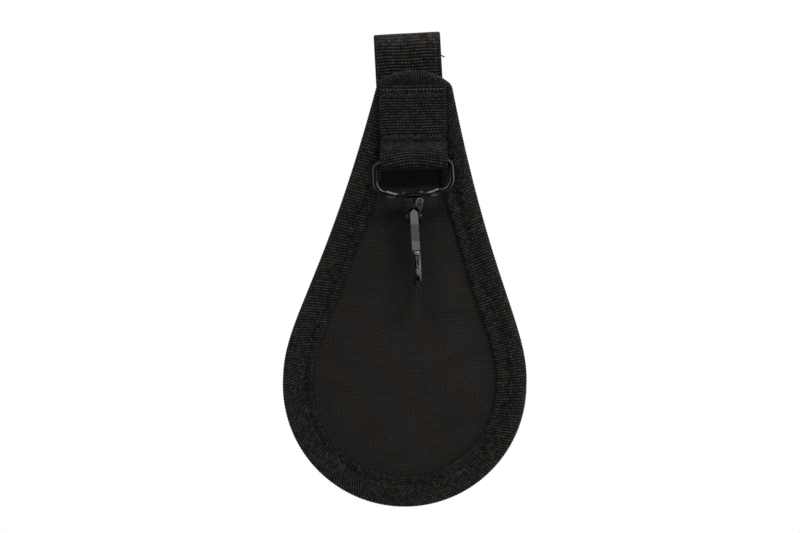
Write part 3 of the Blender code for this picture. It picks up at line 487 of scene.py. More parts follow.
# %% Skin helper
def skin(name, points, u, v, ring_turn=None, **attributes):
    """A closed tube of quads from points[along, across].

    u is given for each point, v for each column and once more where the section closes. For a
    ring, ring_turn is what u gains in one turn; other tubes are closed at both ends.
    """
    along, across = points.shape[:2]
    u = np.broadcast_to(u, (along, across))
    u = np.concatenate([u, u[:, :1]], 1)
    u = np.concatenate([u, u[:1] + (ring_turn or 0)])
    uv = np.stack([u, np.broadcast_to(v, u.shape)], 2)
    spans = along if ring_turn else along - 1
    row, column = np.meshgrid(np.arange(spans), np.arange(across), indexing="ij")
    corners = [(row, column), (row, column + 1), (row + 1, column + 1), (row + 1, column)]
    faces = np.stack([(a % along) * across + b % across for a, b in corners], axis=-1)
    face_uv = np.stack([uv[a, b] for a, b in corners], axis=2).reshape(-1, 2)
    ends = [] if ring_turn else [
        list(range(across)), list(range((along - 1) * across, along * across))]
    mesh = bpy.data.meshes.new(name)
    mesh.from_pydata(points.reshape(-1, 3).tolist(), [], faces.reshape(-1, 4).tolist() + ends)
    all_uv = np.zeros((len(mesh.loops), 2))
    all_uv[:len(face_uv)] = face_uv
    mesh.uv_layers.new(name="cloth").data.foreach_set("uv", all_uv.ravel())
    for label, values in attributes.items():
        held = np.broadcast_to(values, points.shape[:2])
        mesh.attributes.new(label, "FLOAT", "POINT").data.foreach_set("value", held.ravel())
    with shaping(mesh) as form:
        bmesh.ops.recalc_face_normals(form, faces=form.faces)
    mesh.shade_smooth()
    return mesh


def add_piece(name, mesh, body, material, replaces=(), slot=None):
    """Put a finished mesh in the scene under its body and hide the frame parts it replaces."""
    piece = in_scene(name, mesh)
    mesh.materials.clear()
    mesh.materials.append(material)
    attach(piece, body)
    if replaces:
        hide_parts(*replaces)
    triangles = sum(len(face.vertices) - 2 for face in mesh.polygons)
    print(name, "has", triangles, "triangles")
    return piece


# %% [markdown]
# ## The teardrop outline
# Four pieces share the pad's outline: a round bowl, two flanks that sweep inward to the
# shoulders, small rounded corners and a shallow arc on top. Each outline point also knows the
# spot on the pad's spine that it faces, so drawing the outline in by a distance never makes it
# cross itself.

# %% Half of the outline
PAD_TOP = -12.9 * MM
PAD_BOTTOM = -178.4 * MM
BOWL_RADIUS = 46.2 * MM
FLANK_RISE = 1.8 * MM
SHOULDER_HALF_WIDTH = 14.5 * MM
SHOULDER_CORNER = 4.5 * MM
SHOULDER_LEAN = radians(13)
FLANK_HANDLES = (22 * MM, 76 * MM)
TOP_ARC_RADIUS = 22 * MM
SPINE_TOP = PAD_TOP - 12.5 * MM
BOWL_CENTRE = PAD_BOTTOM + BOWL_RADIUS


def shoulder_corner_centre():
    """Where the rounded corner's centre lies, so that the corner meets the top arc smoothly."""
    x = SHOULDER_HALF_WIDTH - SHOULDER_CORNER * cos(SHOULDER_LEAN)
    return x, PAD_TOP - TOP_ARC_RADIUS + sqrt((TOP_ARC_RADIUS - SHOULDER_CORNER) ** 2 - x ** 2)


def arc(x, z, radius, turns):
    """Points of an arc round (x, z) at these turns from the X axis."""
    return np.stack([x + radius * np.cos(turns), z + radius * np.sin(turns)], axis=-1)


def right_half_outline(steps=90):
    """Points from the bottom of the bowl to the middle of the top, each with its spine foot."""
    bowl = arc(0, BOWL_CENTRE, BOWL_RADIUS, np.linspace(-pi / 2, 0, steps))
    corner_x, corner_z = shoulder_corner_centre()
    start = np.array((BOWL_RADIUS, BOWL_CENTRE + FLANK_RISE))
    end = arc(corner_x, corner_z, SHOULDER_CORNER, SHOULDER_LEAN)
    low = start + (0, FLANK_HANDLES[0])
    high = end + np.array((sin(SHOULDER_LEAN), -cos(SHOULDER_LEAN))) * FLANK_HANDLES[1]
    t = np.linspace(0, 1, steps)[:, None]
    flank = (start * (1 - t) ** 3 + low * 3 * t * (1 - t) ** 2 + high * 3 * t ** 2 * (1 - t)
             + end * t ** 3)
    slope = np.gradient(flank[:, 0]) / np.gradient(flank[:, 1])
    flank_feet = np.clip(flank[:, 1] + flank[:, 0] * slope, BOWL_CENTRE, SPINE_TOP)
    arc_z = PAD_TOP - TOP_ARC_RADIUS
    meeting = atan2(corner_z - arc_z, corner_x)
    corner = arc(corner_x, corner_z, SHOULDER_CORNER,
                 np.linspace(SHOULDER_LEAN, meeting, steps // 4)[1:])
    top = arc(0, arc_z, TOP_ARC_RADIUS, np.linspace(meeting, pi / 2, steps // 4)[1:])
    points = np.concatenate([bowl, flank, corner, top])
    feet = np.concatenate([np.full(len(bowl), BOWL_CENTRE), flank_feet,
                           np.full(len(corner) + len(top), SPINE_TOP)])
    return points, feet


# %% Closed outline
def closed_outline(count):
    """Evenly spaced outline points (x, z), unit directions to the spine and the whole length."""
    points, feet = right_half_outline()
    points = np.concatenate([points, (points * (-1, 1))[::-1][1:]])
    feet = np.concatenate([feet, feet[::-1][1:]])
    steps = np.hypot(*np.diff(points, axis=0).T)
    keep = np.concatenate([[True], steps > 1e-7])
    points, feet = points[keep], feet[keep]
    length = np.concatenate([[0], np.cumsum(np.hypot(*np.diff(points, axis=0).T))])
    even = np.arange(count) * length[-1] / count
    x, z = np.interp(even, length, points[:, 0]), np.interp(even, length, points[:, 1])
    foot = np.interp(even, length, feet)
    inward = np.stack([-x, foot - z], 1)
    return np.stack([x, z], 1), inward / np.hypot(*inward.T)[:, None], length[-1]


outline, inward, perimeter = closed_outline(720)
print("pad is", round(2 * outline[:, 0].max() / MM, 1), "mm wide and",
      round(np.ptp(outline[:, 1]) / MM, 1), "mm high; its edge is", round(perimeter / MM),
      "mm long")

# %% [markdown]
# ## The padded face
# Under the front cloth lies a sheet of foam, and the tape's seam holds the cloth down all round,
# so the face swells between the seams like a thin pillow. Cloth simulation gives that shape: a
# flat net of cloth is pinned along the seam and under the strap's stitches, and air pressure
# takes the place of the foam. The foam can only swell so far, so each point is held to a height
# that grows with its distance from the seam.

# %% Inside and distance tests
FRONT_RIM = -11.45 * MM
SEAM_INSET = 8.8 * MM
NET_PITCH = 2.2 * MM
PANEL_INSET = 1.2 * MM


def edge_distance(points):
    """Distance of flat points (x, z) from the pad's outer edge, in blocks to save memory."""
    blocks = np.array_split(points, max(1, len(points) // 2000))
    return np.concatenate([
        np.sqrt(((block[:, None] - outline) ** 2).sum(2).min(1)) for block in blocks])


def is_inside(points, ring):
    """Which flat points lie inside a closed ring, by counting crossings."""
    ahead = np.roll(ring, -1, axis=0)
    x, z = points[:, 0, None], points[:, 1, None]
    rises = (ring[:, 1] > z) != (ahead[:, 1] > z)
    step = np.where(ahead[:, 1] == ring[:, 1], 1, ahead[:, 1] - ring[:, 1])
    meets = ring[:, 0] + (z - ring[:, 1]) / step * (ahead[:, 0] - ring[:, 0])
    return (rises & (x < meets)).sum(1) % 2 == 1


# %% Flat net inside the outline
def flat_net(inset, pitch, y):
    """A net of mostly square meshes inside the outline, drawn in by an inset, facing -Y."""
    every = max(1, round(len(outline) * pitch / perimeter))
    rim = (outline + inward * inset)[::every]
    low, high = rim.min(0), rim.max(0)
    x, z = np.meshgrid(np.arange(low[0], high[0], pitch), np.arange(low[1], high[1], pitch))
    spots = np.stack([x.ravel(), z.ravel()], 1)
    spots = spots[is_inside(spots, rim)]
    spots = spots[edge_distance(spots) > inset + pitch * 0.6]
    count = len(rim)
    flat = [Vector(point) for point in np.concatenate([rim, spots])]
    corners, _, faces, _, _, _ = delaunay_2d_cdt(flat, [], [list(range(count))], 1, pitch * 0.01)
    mesh = bpy.data.meshes.new("net")
    with shaping(mesh) as form:
        made = [form.verts.new((corner.x, y, corner.y)) for corner in corners]
        for face in faces:
            form.faces.new([made[index] for index in face])
        bmesh.ops.join_triangles(form, faces=form.faces, angle_face_threshold=radians(40),
                                 angle_shape_threshold=radians(40))
        bmesh.ops.recalc_face_normals(form, faces=form.faces)
        if sum(face.normal.y for face in form.faces) > 0:
            bmesh.ops.reverse_faces(form, faces=form.faces)
    return mesh


def coordinates(mesh):
    """The mesh's points as rows of x, y and z."""
    values = np.zeros(len(mesh.vertices) * 3)
    mesh.vertices.foreach_get("co", values)
    return values.reshape(-1, 3)


def smoothstep(share):
    """0 up to a share of 0, 1 from a share of 1, and smooth between."""
    held = np.clip(share, 0, 1)
    return held * held * (3 - 2 * held)


net = flat_net(PANEL_INSET, NET_PITCH, FRONT_RIM)
print("net of", len(net.vertices), "points and", len(net.polygons), "meshes")

# %% Swell the net by cloth simulation
SIM_FRAMES = 16
PAD_PRESSURE = 18.0
FOAM_SWELL = 3.1 * MM
FOAM_RUN = 22 * MM
CLOTH_SETTINGS = {
    "vertex_group_mass": "seams", "mass": 0.1, "quality": 8, "tension_stiffness": 12,
    "bending_stiffness": 0.4, "shrink_min": -0.03, "use_pressure": True,
    "uniform_pressure_force": PAD_PRESSURE,
}
STRAP_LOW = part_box("hook_strap")[0].z
STRAP_REAR_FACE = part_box("hook_strap")[1].y
STRAP_HALF_WIDTH = 12.7 * MM
STRAP_CLEARANCE = 0.15 * MM
# Heights of the strap's two sewn bands, from the top.
TACK_ROWS = (-20.6 * MM, -24.0 * MM, -37.2 * MM, -40.2 * MM)


def swollen(net):
    """The net's points after the simulation."""
    rest = coordinates(net)
    piece = in_scene("net", net)
    high, upper, lower, low = (rest[:, 2] < row for row in TACK_ROWS)
    tacked = (np.abs(rest[:, 0]) < STRAP_HALF_WIDTH) & ((high & ~upper) | (lower & ~low))
    pinned = np.nonzero((edge_distance(rest[:, [0, 2]]) < SEAM_INSET) | tacked)[0]
    piece.vertex_groups.new(name="seams").add(pinned.tolist(), 1.0, "REPLACE")
    cloth = piece.modifiers.new("cloth", "CLOTH")
    for setting, value in CLOTH_SETTINGS.items():
        setattr(cloth.settings, setting, value)
    cloth.settings.effector_weights.gravity = 0
    for step in range(1, SIM_FRAMES + 1):
        bpy.context.scene.frame_set(step)
    graph = bpy.context.evaluated_depsgraph_get()
    made = coordinates(piece.evaluated_get(graph).data)
    bpy.context.scene.frame_set(1)
    bpy.data.objects.remove(piece)
    return made


# %% Hold the swell to the foam
simulated = swollen(net)
rest = coordinates(net)
distance = edge_distance(rest[:, [0, 2]])
room = FOAM_SWELL * smoothstep((distance - SEAM_INSET) / FOAM_RUN)
under_strap = (np.abs(rest[:, 0]) < STRAP_HALF_WIDTH + 1 * MM) & (rest[:, 2] > STRAP_LOW)
room = np.where(under_strap, np.minimum(room, FRONT_RIM - STRAP_REAR_FACE - STRAP_CLEARANCE), room)
swell = rest[:, 1] - simulated[:, 1]
print("cloth swelled by up to", round(swell.max() / MM, 2), "mm before the foam's limit")
rest[:, 1] -= room * np.tanh(np.maximum(swell, 0) / np.maximum(room, 0.01 * MM))
net.vertices.foreach_set("co", rest.ravel())

# %% Close the pad's body behind the cloth
PAD_REAR = -8.5 * MM
SHARP_SHADING = radians(50)


def finished_mesh(piece):
    """The evaluated mesh of a piece with its modifiers; the piece itself is removed."""
    bpy.context.view_layer.update()
    graph = bpy.context.evaluated_depsgraph_get()
    mesh = bpy.data.meshes.new_from_object(piece.evaluated_get(graph))
    mesh.name = piece.name
    bpy.data.objects.remove(piece)
    return mesh


def smoothed(name, mesh, levels):
    """The mesh after so many levels of subdivision."""
    piece = in_scene(name, mesh)
    rounding = piece.modifiers.new("smooth", "SUBSURF")
    rounding.levels = levels
    rounding.render_levels = levels
    return finished_mesh(piece)


def closed_behind(mesh, y):
    """Carry the open rim straight back to a plane and close it there."""
    with shaping(mesh) as form:
        rim = [edge for edge in form.edges if edge.is_boundary]
        for item in bmesh.ops.extrude_edge_only(form, edges=rim)["geom"]:
            if isinstance(item, bmesh.types.BMVert):
                item.co.y = y
        rear = [edge for edge in form.edges if edge.is_boundary]
        bmesh.ops.holes_fill(form, edges=rear, sides=0)
        bmesh.ops.recalc_face_normals(form, faces=form.faces)
    mesh.shade_smooth()
    mesh.set_sharp_from_angle(angle=SHARP_SHADING)
    return mesh


face_mesh = closed_behind(smoothed("padded_face", net, 2), PAD_REAR)
padded_face = add_piece("padded_face", face_mesh, "pad", pad_cloth,
                        ("front_panel", "foam_core"), "pad_fabric")

# %% [markdown]
# ## The pad's back
# The back is the same cloth over a stiff board, so it stays nearly flat. Only the slight waves
# of cloth that isn't stretched are added, by a sum of two long ripples.

# %% Back cloth
BACK_FACE = -6.15 * MM
BACK_INNER = -6.9 * MM
BACK_RIPPLE = 0.12 * MM
BACK_CALM = 11 * MM

back_net = flat_net(PANEL_INSET, 3 * MM, BACK_FACE)
spots = coordinates(back_net)
ripple = np.sin(spots[:, 0] / (6 * MM) + spots[:, 2] / (11 * MM)) * np.sin(spots[:, 2] / (9 * MM))
away_from_edge = smoothstep((edge_distance(spots[:, [0, 2]]) - BACK_CALM) / (8 * MM))
spots[:, 1] += BACK_RIPPLE * ripple * away_from_edge
back_net.vertices.foreach_set("co", spots.ravel())
back_mesh = closed_behind(smoothed("back_cloth", back_net, 1), BACK_INNER)
add_piece("back_cloth", back_mesh, "pad", pad_cloth, ("back_panel",), "pad_fabric")

# %% [markdown]
# ## Webbing
# Webbing is woven so thick that each crosswise weft yarn stands up as a rib, and the lengthwise
# warp yarns that pass over it look like beads. The ribs are a millimetre apart, so they are
# worth real geometry: they break the light and the outline. A band is made by carrying a
# rounded section along a side path. The ribs are carved into its faces and the finish adds the
# beads, and the woven edges stay smoother, as on real webbing.


# %% Paths seen from the side
def filleted(corners, steps=14):
    """A path through (a, b, radius) corners, each inner corner rounded by its radius."""
    path = [corners[0][:2]]
    for before, corner, after in zip(corners, corners[1:], corners[2:]):
        centre = Vector(corner[:2])
        arriving = (centre - Vector(before[:2])).normalized()
        leaving = (Vector(after[:2]) - centre).normalized()
        bend = arriving.angle_signed(leaving)
        start = centre - arriving * corner[2] * tan(abs(bend) / 2)
        hub = start + Vector((-arriving.y, arriving.x)) * (-corner[2] if bend > 0 else corner[2])
        for step in range(steps + 1):
            angle = -bend * step / steps
            spoke = start - hub
            path.append((hub.x + spoke.x * cos(angle) - spoke.y * sin(angle),
                         hub.y + spoke.x * sin(angle) + spoke.y * cos(angle)))
    path.append(corners[-1][:2])
    return np.array(path)


def even_path(path, step):
    """The path at even steps: points, left-hand normals and lengths from its start."""
    gaps = np.hypot(*np.diff(path, axis=0).T)
    length = np.concatenate([[0], np.cumsum(gaps)])
    count = int(length[-1] / step) + 1
    along = np.linspace(0, length[-1], count)
    points = np.stack([np.interp(along, length, path[:, axis]) for axis in (0, 1)], 1)
    slope = np.gradient(points, axis=0)
    slope /= np.hypot(*slope.T)[:, None]
    return points, np.stack([-slope[:, 1], slope[:, 0]], 1), along


# %% Section and ribs of a band
RIB_DEPTH = 0.30 * MM
SELVEDGE = 1.6 * MM
SELVEDGE_GROOVE = 0.22 * MM
SEWN_DEPTH = 0.22 * MM
SEWN_FLATNESS = 0.45
EDGE_FLATNESS = 0.6
TWILL_HEIGHT = 0.55
TWILL_DROP = 0.15
RIB_WANDER = 0.09
RIB_STEPS = 8
BAND_COLUMNS = 46


def rib_profile(turns, sharpness=0.6):
    """Rounded ribs with narrow grooves: 1 on a crest, 0 in a groove."""
    return np.abs(np.sin(pi * turns)) ** sharpness


def band_section(width, thickness):
    """Closed section of a band: x, offset and which way the outer side faces at each point."""
    half, edge = width / 2, thickness / 2
    columns = np.linspace(edge - half, half - edge, BAND_COLUMNS)
    turn = np.linspace(pi / 2, -pi / 2, 7)[1:-1]
    inner = np.linspace(half - edge, edge - half, 14)
    x = np.concatenate([columns, half - edge + edge * np.cos(turn), inner,
                        edge - half - edge * np.cos(turn[::-1])])
    off = np.concatenate([np.full(len(columns), edge), edge * np.sin(turn),
                          np.full(len(inner), -edge), edge * np.sin(turn[::-1])])
    past = np.maximum(np.abs(x) - half + edge, 0) / edge
    return x, off, past * np.sign(x), off / edge


def woven_turns(x, along, half, rib_pitch, bow):
    """How many ribs lie before each point; the ribs bow in the middle and wander a little."""
    turns = (along[:, None] - bow[:, None] * (1 - (x / half) ** 2)) / rib_pitch
    return turns + RIB_WANDER * np.sin(x / (2.3 * MM) + along[:, None] / (7 * MM))


# %% Webbing band
def webbing_band(name, path, width, thickness, rib_pitch, **varying):
    """Ribbed webbing along a side path of (y, z) points; bow, sewn, twill and painted light vary along
    it.
    """
    spots, normals, along = even_path(path, rib_pitch / RIB_STEPS)
    bow, sewn, twill, worn = (
        varying[label](spots) if label in varying else np.zeros(len(along))
        for label in ("bow", "sewn", "twill", "worn"))
    x, off, out_x, out_n = band_section(width, thickness)
    half = width / 2
    from_edge = half - np.abs(x)
    turns = woven_turns(x, along, half, rib_pitch, bow)
    groove = np.exp(-((from_edge - SELVEDGE) / SELVEDGE_GROOVE) ** 2) * SELVEDGE_GROOVE / RIB_DEPTH
    strength = 1 - EDGE_FLATNESS * (1 - smoothstep(from_edge / SELVEDGE))
    height = (rib_profile(turns) - 1) * strength - groove
    diagonal = rib_profile((turns * rib_pitch - x) / TWILL_PITCH, 0.8) - 1
    height = height + (TWILL_HEIGHT * diagonal - TWILL_DROP - height) * twill[:, None]
    height = height * (1 - SEWN_FLATNESS * sewn[:, None]) - sewn[:, None] * SEWN_DEPTH / RIB_DEPTH
    lift = off + RIB_DEPTH * height * out_n
    points = np.zeros((len(along), len(x), 3))
    points[:, :, 0] = x + RIB_DEPTH * height * out_x
    points[:, :, 1] = spots[:, 0, None] + normals[:, 0, None] * lift
    points[:, :, 2] = spots[:, 1, None] + normals[:, 1, None] * lift
    return skin(name, points, turns * rib_pitch, np.append(x, x[0]), sewn=sewn[:, None],
                twill=twill[:, None], worn=worn[:, None])


# %% [markdown]
# ## Belt loop
# One strip goes up the pad's back, over the belt and down again, and both ends are sewn to the
# pad one over the other. On the photographed holder the loop has settled a few degrees askew
# above the place where it is sewn, so the band is turned about that place, more towards the top.

# %% Belt loop
WEBBING_THICKNESS = 1.6 * MM
LOOP_LOW, LOOP_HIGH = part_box("belt_loop")
LOOP_RUN = LOOP_HIGH.y - WEBBING_THICKNESS / 2
LOOP_SLOT_FOOT = -46 * MM
LOOP_TACK_TOP = -54 * MM
LOOP_BEND = 6 * MM
FOLD_HIGHLIGHT = 4.5 * MM
LOOP_LEAN = radians(5)
LEAN_START = -52 * MM
LEAN_FULL = -30 * MM
LEAN_PIVOT = -40.5 * MM
PLY_GAP = 0.3 * MM
STACKED_RUN = WEBBING_THICKNESS + PLY_GAP - LOOP_RUN


def loop_sewn(spots):
    """Where the stacked ends are sewn to the pad."""
    return smoothstep((LOOP_TACK_TOP - 1 * MM - spots[:, 1]) / (1 * MM))


def loop_worn(spots):
    """Where the fold over the belt is painted paler with fainter ribs: a painted highlight on the fold
    that faces the light above.
    """
    return smoothstep((spots[:, 1] + FOLD_HIGHLIGHT) / (2.5 * MM))


loop_path = filleted((
    (-LOOP_RUN, LOOP_LOW.z),
    (-LOOP_RUN, WEBBING_THICKNESS / 2, LOOP_RUN),
    (LOOP_RUN, WEBBING_THICKNESS / 2, LOOP_RUN),
    (LOOP_RUN, LOOP_SLOT_FOOT, LOOP_BEND),
    (STACKED_RUN, LOOP_TACK_TOP, LOOP_BEND),
    (STACKED_RUN, LOOP_LOW.z),
))
loop_mesh = webbing_band("belt_loop_webbing", loop_path, LOOP_HIGH.x - LOOP_LOW.x,
                         WEBBING_THICKNESS, LOOP_RIB_PITCH, sewn=loop_sewn, worn=loop_worn)


def leaned(points):
    """Points turned about the sewn place, more and more towards the loop's top."""
    turn = LOOP_LEAN * smoothstep((points[:, 2] - LEAN_START) / (LEAN_FULL - LEAN_START))
    rise = points[:, 2] - LEAN_PIVOT
    x = points[:, 0] * np.cos(turn) - rise * np.sin(turn)
    z = points[:, 0] * np.sin(turn) + rise * np.cos(turn) + LEAN_PIVOT
    return np.stack([x, points[:, 1], z], 1)


loop_mesh.vertices.foreach_set("co", leaned(coordinates(loop_mesh)).ravel())
add_piece("belt_loop_webbing", loop_mesh, "pad", loop_finish, ("belt_loop",), "webbing")
print("the loop leans", round(degrees(LOOP_LEAN), 1), "degrees at its top")

# %% [markdown]
# ## Hook strap
# The strap on the front is a shorter piece of the same webbing, folded round the top bar of the
# hook's bail. It bulges forward just above the bar and lies flat where it is sewn. It is sewn on
# three degrees askew, so it is made upright first and turned as a whole, as in the frame.

# %% Hook strap
joints = {joint["name"]: joint for joint in frame["joints"]}
BAIL_AXIS = Vector(joints["bail_swing"]["pos_m"])
STRAP_TOP = -19.0 * MM
BAR_Y = BAIL_AXIS.y
BAR_Z = -47.9 * MM
STRAP_REAR_RUN = STRAP_REAR_FACE - WEBBING_THICKNESS / 2
STRAP_FRONT_RUN = STRAP_REAR_RUN - WEBBING_THICKNESS - PLY_GAP
LOOP_RADIUS = STRAP_REAR_RUN - BAR_Y
BULGE_RISE = 2.6 * MM
BULGE_HEIGHT = 4 * MM
BULGE_RADIUS = 3 * MM
RIB_BOW = 1.5 * MM
LOOP_ARCH = 0.35 * MM
TWILL_LOW = -43.6 * MM
STRAP_PIVOT = Vector((0, 0, -35.5)) * MM
STRAP_LEAN = radians(3)
STRAP_TURN = (Matrix.Translation(STRAP_PIVOT) @ Matrix.Rotation(-STRAP_LEAN, 4, "Y")
              @ Matrix.Translation(-STRAP_PIVOT))


def within(height, low, high, fade=0.5 * MM):
    """1 between two heights, fading to 0 outside them."""
    return smoothstep((height - low) / fade + 0.5) * smoothstep((high - height) / fade + 0.5)


def rib_bow(spots):
    """How far the ribs bow down over the fold."""
    return RIB_BOW * smoothstep((BAR_Z + 9 * MM - spots[:, 1]) / (6 * MM))


def strap_sewn(spots):
    """Where the two bands of stitches hold the strap."""
    high, upper, lower, low = TACK_ROWS
    return np.minimum(within(spots[:, 1], upper, high) + within(spots[:, 1], low, lower), 1)


def strap_twill(spots):
    """Where the front run is woven as twill, just above the bulge."""
    on_front = spots[:, 0] < (STRAP_REAR_RUN + STRAP_FRONT_RUN) / 2
    return within(spots[:, 1], TWILL_LOW, TACK_ROWS[3]) * on_front


strap_path = filleted((
    (STRAP_REAR_RUN, STRAP_TOP),
    (STRAP_REAR_RUN, BAR_Z - LOOP_RADIUS, LOOP_RADIUS),
    (BAR_Y - LOOP_RADIUS, BAR_Z - LOOP_RADIUS, LOOP_RADIUS),
    (BAR_Y - LOOP_RADIUS, BAR_Z + BULGE_RISE, BULGE_RADIUS),
    (STRAP_FRONT_RUN, BAR_Z + BULGE_RISE + BULGE_HEIGHT, BULGE_RADIUS),
    (STRAP_FRONT_RUN, STRAP_TOP),
))
strap_mesh = webbing_band("hook_strap_webbing", strap_path, 2 * STRAP_HALF_WIDTH, WEBBING_THICKNESS,
                          STRAP_RIB_PITCH, bow=rib_bow, sewn=strap_sewn, twill=strap_twill)
strap_points = coordinates(strap_mesh)
below_bulge = smoothstep((BAR_Z + BULGE_HEIGHT - strap_points[:, 2]) / (4 * MM))
strap_points[:, 2] += LOOP_ARCH * below_bulge * (1 - (strap_points[:, 0] / STRAP_HALF_WIDTH) ** 2)
strap_mesh.vertices.foreach_set("co", strap_points.ravel())
strap_mesh.transform(STRAP_TURN)
add_piece("hook_strap_webbing", strap_mesh, "pad", strap_finish, ("hook_strap",), "webbing")

# %% [markdown]
# ## Edge binding
# A ribbed tape is folded over the pad's edge and sewn through from front to back. Its ribs run
# across the tape, so they fan out round the bowl. Sewing drags the tape's inner edge along, which
# leans the ribs, most of all round the bowl, so each row of points follows one line of a rib.
# The seam pulls the tape down in a row of small dimples, and between the seam and the edge the
# tape stands up a little over the foam.

# %% Section of the tape
TAPE_THICKNESS = 0.9 * MM
TAPE_WIDTH = 11 * MM
TAPE_FRONT_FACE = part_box("edge_binding")[0].y
TAPE_REAR_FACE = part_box("edge_binding")[1].y
TAPE_STEP = 0.62 * MM
INNER_STRIDE = 3
CAP_SHARE = 0.6

half_tape = TAPE_THICKNESS / 2
tape_path = filleted((
    (TAPE_WIDTH, TAPE_FRONT_FACE + half_tape),
    (half_tape, TAPE_FRONT_FACE + half_tape, TAPE_THICKNESS),
    (half_tape, TAPE_REAR_FACE - half_tape, TAPE_THICKNESS),
    (TAPE_WIDTH, TAPE_REAR_FACE - half_tape),
), steps=6)


def tape_section(path):
    """The tape's closed section: (inset, y) points, tape normals, ways out and outer shares."""
    spots, normals, _ = even_path(path, TAPE_STEP)
    back, back_normals = spots[::-INNER_STRIDE], normals[::-INNER_STRIDE]
    turn = np.linspace(0, pi, 5)[1:-1]
    round_end = np.stack([np.sin(turn), np.cos(turn)], 1)
    ends = len(turn)
    points = np.concatenate([spots + normals * half_tape, spots[-1] + half_tape * round_end,
                             back - back_normals * half_tape, spots[0] + half_tape * round_end])
    facing = np.concatenate([normals, np.tile(normals[-1], (ends, 1)),
                             back_normals, np.tile(normals[0], (ends, 1))])
    away = np.concatenate([normals, round_end, -back_normals, round_end])
    outside = np.repeat((1, CAP_SHARE, 0, CAP_SHARE), (len(spots), ends, len(back), ends))
    return points, facing, away, outside


section, facing, away, outside = tape_section(tape_path)
tape_length = np.cumsum(np.hypot(*np.diff(section, axis=0).T))
tape_length = np.concatenate([[0], tape_length, tape_length[-1:]])
print("the tape's section has", len(section), "points")

# %% Lines of the ribs and course of the seam
RIB_ROWS = 4
STITCH_SPACING = 4.6 * MM
# Length along the outline in mm, from the foot of the bowl to the right, and the ribs' lean there.
RIB_LEANS = ((-160, 0), (-90, 22), (0, 28), (50, 21), (85, 0), (110, 0), (170, 20))
# The seam's distance from the pad's edge at such a length, both in mm: it wanders.
SEAM_COURSE = ((-60, 9.0), (0, 8.6), (80, 7.3), (160, 7.3))

rib_count = round(perimeter / TAPE_RIB_PITCH)
stitch_count = round(perimeter / STITCH_SPACING)


def along_edge(lengths, table):
    """A table's value at lengths along the outline, which closes on itself."""
    return np.interp(lengths / MM, *np.transpose(table), period=perimeter / MM)


rows = rib_count * RIB_ROWS
edge, toward, _ = closed_outline(rows)
knots = np.arange(rows)[:, None] * perimeter / rows
inset = section[:, 0]
front_side = section[:, 1] < (TAPE_FRONT_FACE + TAPE_REAR_FACE) / 2
leans = np.radians(along_edge(knots, RIB_LEANS))
lengths = knots - np.tan(leans) * inset * np.where(front_side, 1, -1)
edge_x, edge_z, toward_x, toward_z = (
    np.interp(lengths, knots[:, 0], values, period=perimeter) for values in (*edge.T, *toward.T))
from_seam = inset - along_edge(lengths, SEAM_COURSE) * MM
print("ribs round the tape:", rib_count, "and stitches:", stitch_count)

# %% Relief of the tape
TAPE_RIB_DEPTH = 0.16 * MM
TAPE_RIB_WANDER = 0.10
SEAM_DIP = 0.5 * MM
SEAM_HALF = 1.3 * MM
EDGE_SWELL = 0.38 * MM
SWELL_RUN = 8 * MM
REAR_SWELL = 0.25
EDGE_FLUTTER = 0.18 * MM
EDGE_WANDER = 0.15 * MM
LOOSE_BELOW = -26 * MM

wander = TAPE_RIB_WANDER * np.sin(knots / (23 * MM)) * np.sin(inset / (4 * MM))
tape_turns = knots / perimeter * rib_count + wander
holes = 0.5 + 0.5 * np.cos(2 * pi * lengths / perimeter * stitch_count)
seam_row = np.exp(-(from_seam / SEAM_HALF) ** 2)
past_seam = smoothstep(from_seam / (2 * MM))
dip = SEAM_DIP * seam_row * (0.55 + 0.45 * holes ** 2)
swell = EDGE_SWELL * np.sin(np.clip(inset / SWELL_RUN, 0, 1) * pi) ** 2
swell = swell * np.where(front_side, 1, REAR_SWELL)
flutter = EDGE_FLUTTER * past_seam * np.sin(lengths / (2.6 * MM) + 1.7 * np.sin(lengths / (19 * MM)))
loose = smoothstep((LOOSE_BELOW - edge_z) / (8 * MM))
shift = (swell + flutter * front_side) * loose - dip
carve = TAPE_RIB_DEPTH * (1 - rib_profile(tape_turns)) * outside
move = shift[:, :, None] * facing - carve[:, :, None] * away
uneven_rim = np.sin(lengths / (5.3 * MM) + 2 * np.sin(lengths / (31 * MM)))
flat_inset = inset + move[:, :, 0] + EDGE_WANDER * past_seam * uneven_rim
tape_points = np.stack([edge_x + toward_x * flat_inset, section[:, 1] + move[:, :, 1],
                        edge_z + toward_z * flat_inset], axis=2)
print("the seam pulls the tape in by", round(dip.max() / MM, 2), "mm")

# %% Edge binding
INNER_RIM = 0.7 * MM
SEAM_SHADE_MIDDLE = 1.5 * MM
SEAM_SHADE_HALF = 3.2 * MM
EDGE_SHEEN_RUN = 3.2 * MM
PAINTED_EDGE_SHEEN = 0.45

inner_rim = 0.5 * smoothstep((inset - TAPE_WIDTH + INNER_RIM) / (0.6 * MM))
# Painted shade: the sewn attribute here also darkens a broad valley round the seam and its stitch row,
# on top of the crushed weave there.
painted_seam_shade = 0.5 * np.exp(-((from_seam + SEAM_SHADE_MIDDLE) / SEAM_SHADE_HALF) ** 2)
seam_crush_and_shade = seam_row * (0.4 + 0.6 * holes ** 4)
binding_mesh = skin("binding_tape", tape_points, tape_turns * TAPE_RIB_PITCH, tape_length,
                    ring_turn=rib_count * TAPE_RIB_PITCH, twill=0,
                    sewn=np.maximum(np.maximum(painted_seam_shade, seam_crush_and_shade), inner_rim),
                    # Painted sheen: the tape's outer edge is painted paler and smoother.
                    worn=PAINTED_EDGE_SHEEN * smoothstep(1 - inset / EDGE_SHEEN_RUN))
add_piece("binding_tape", binding_mesh, "pad", tape_finish, ("edge_binding",), "binding_tape")

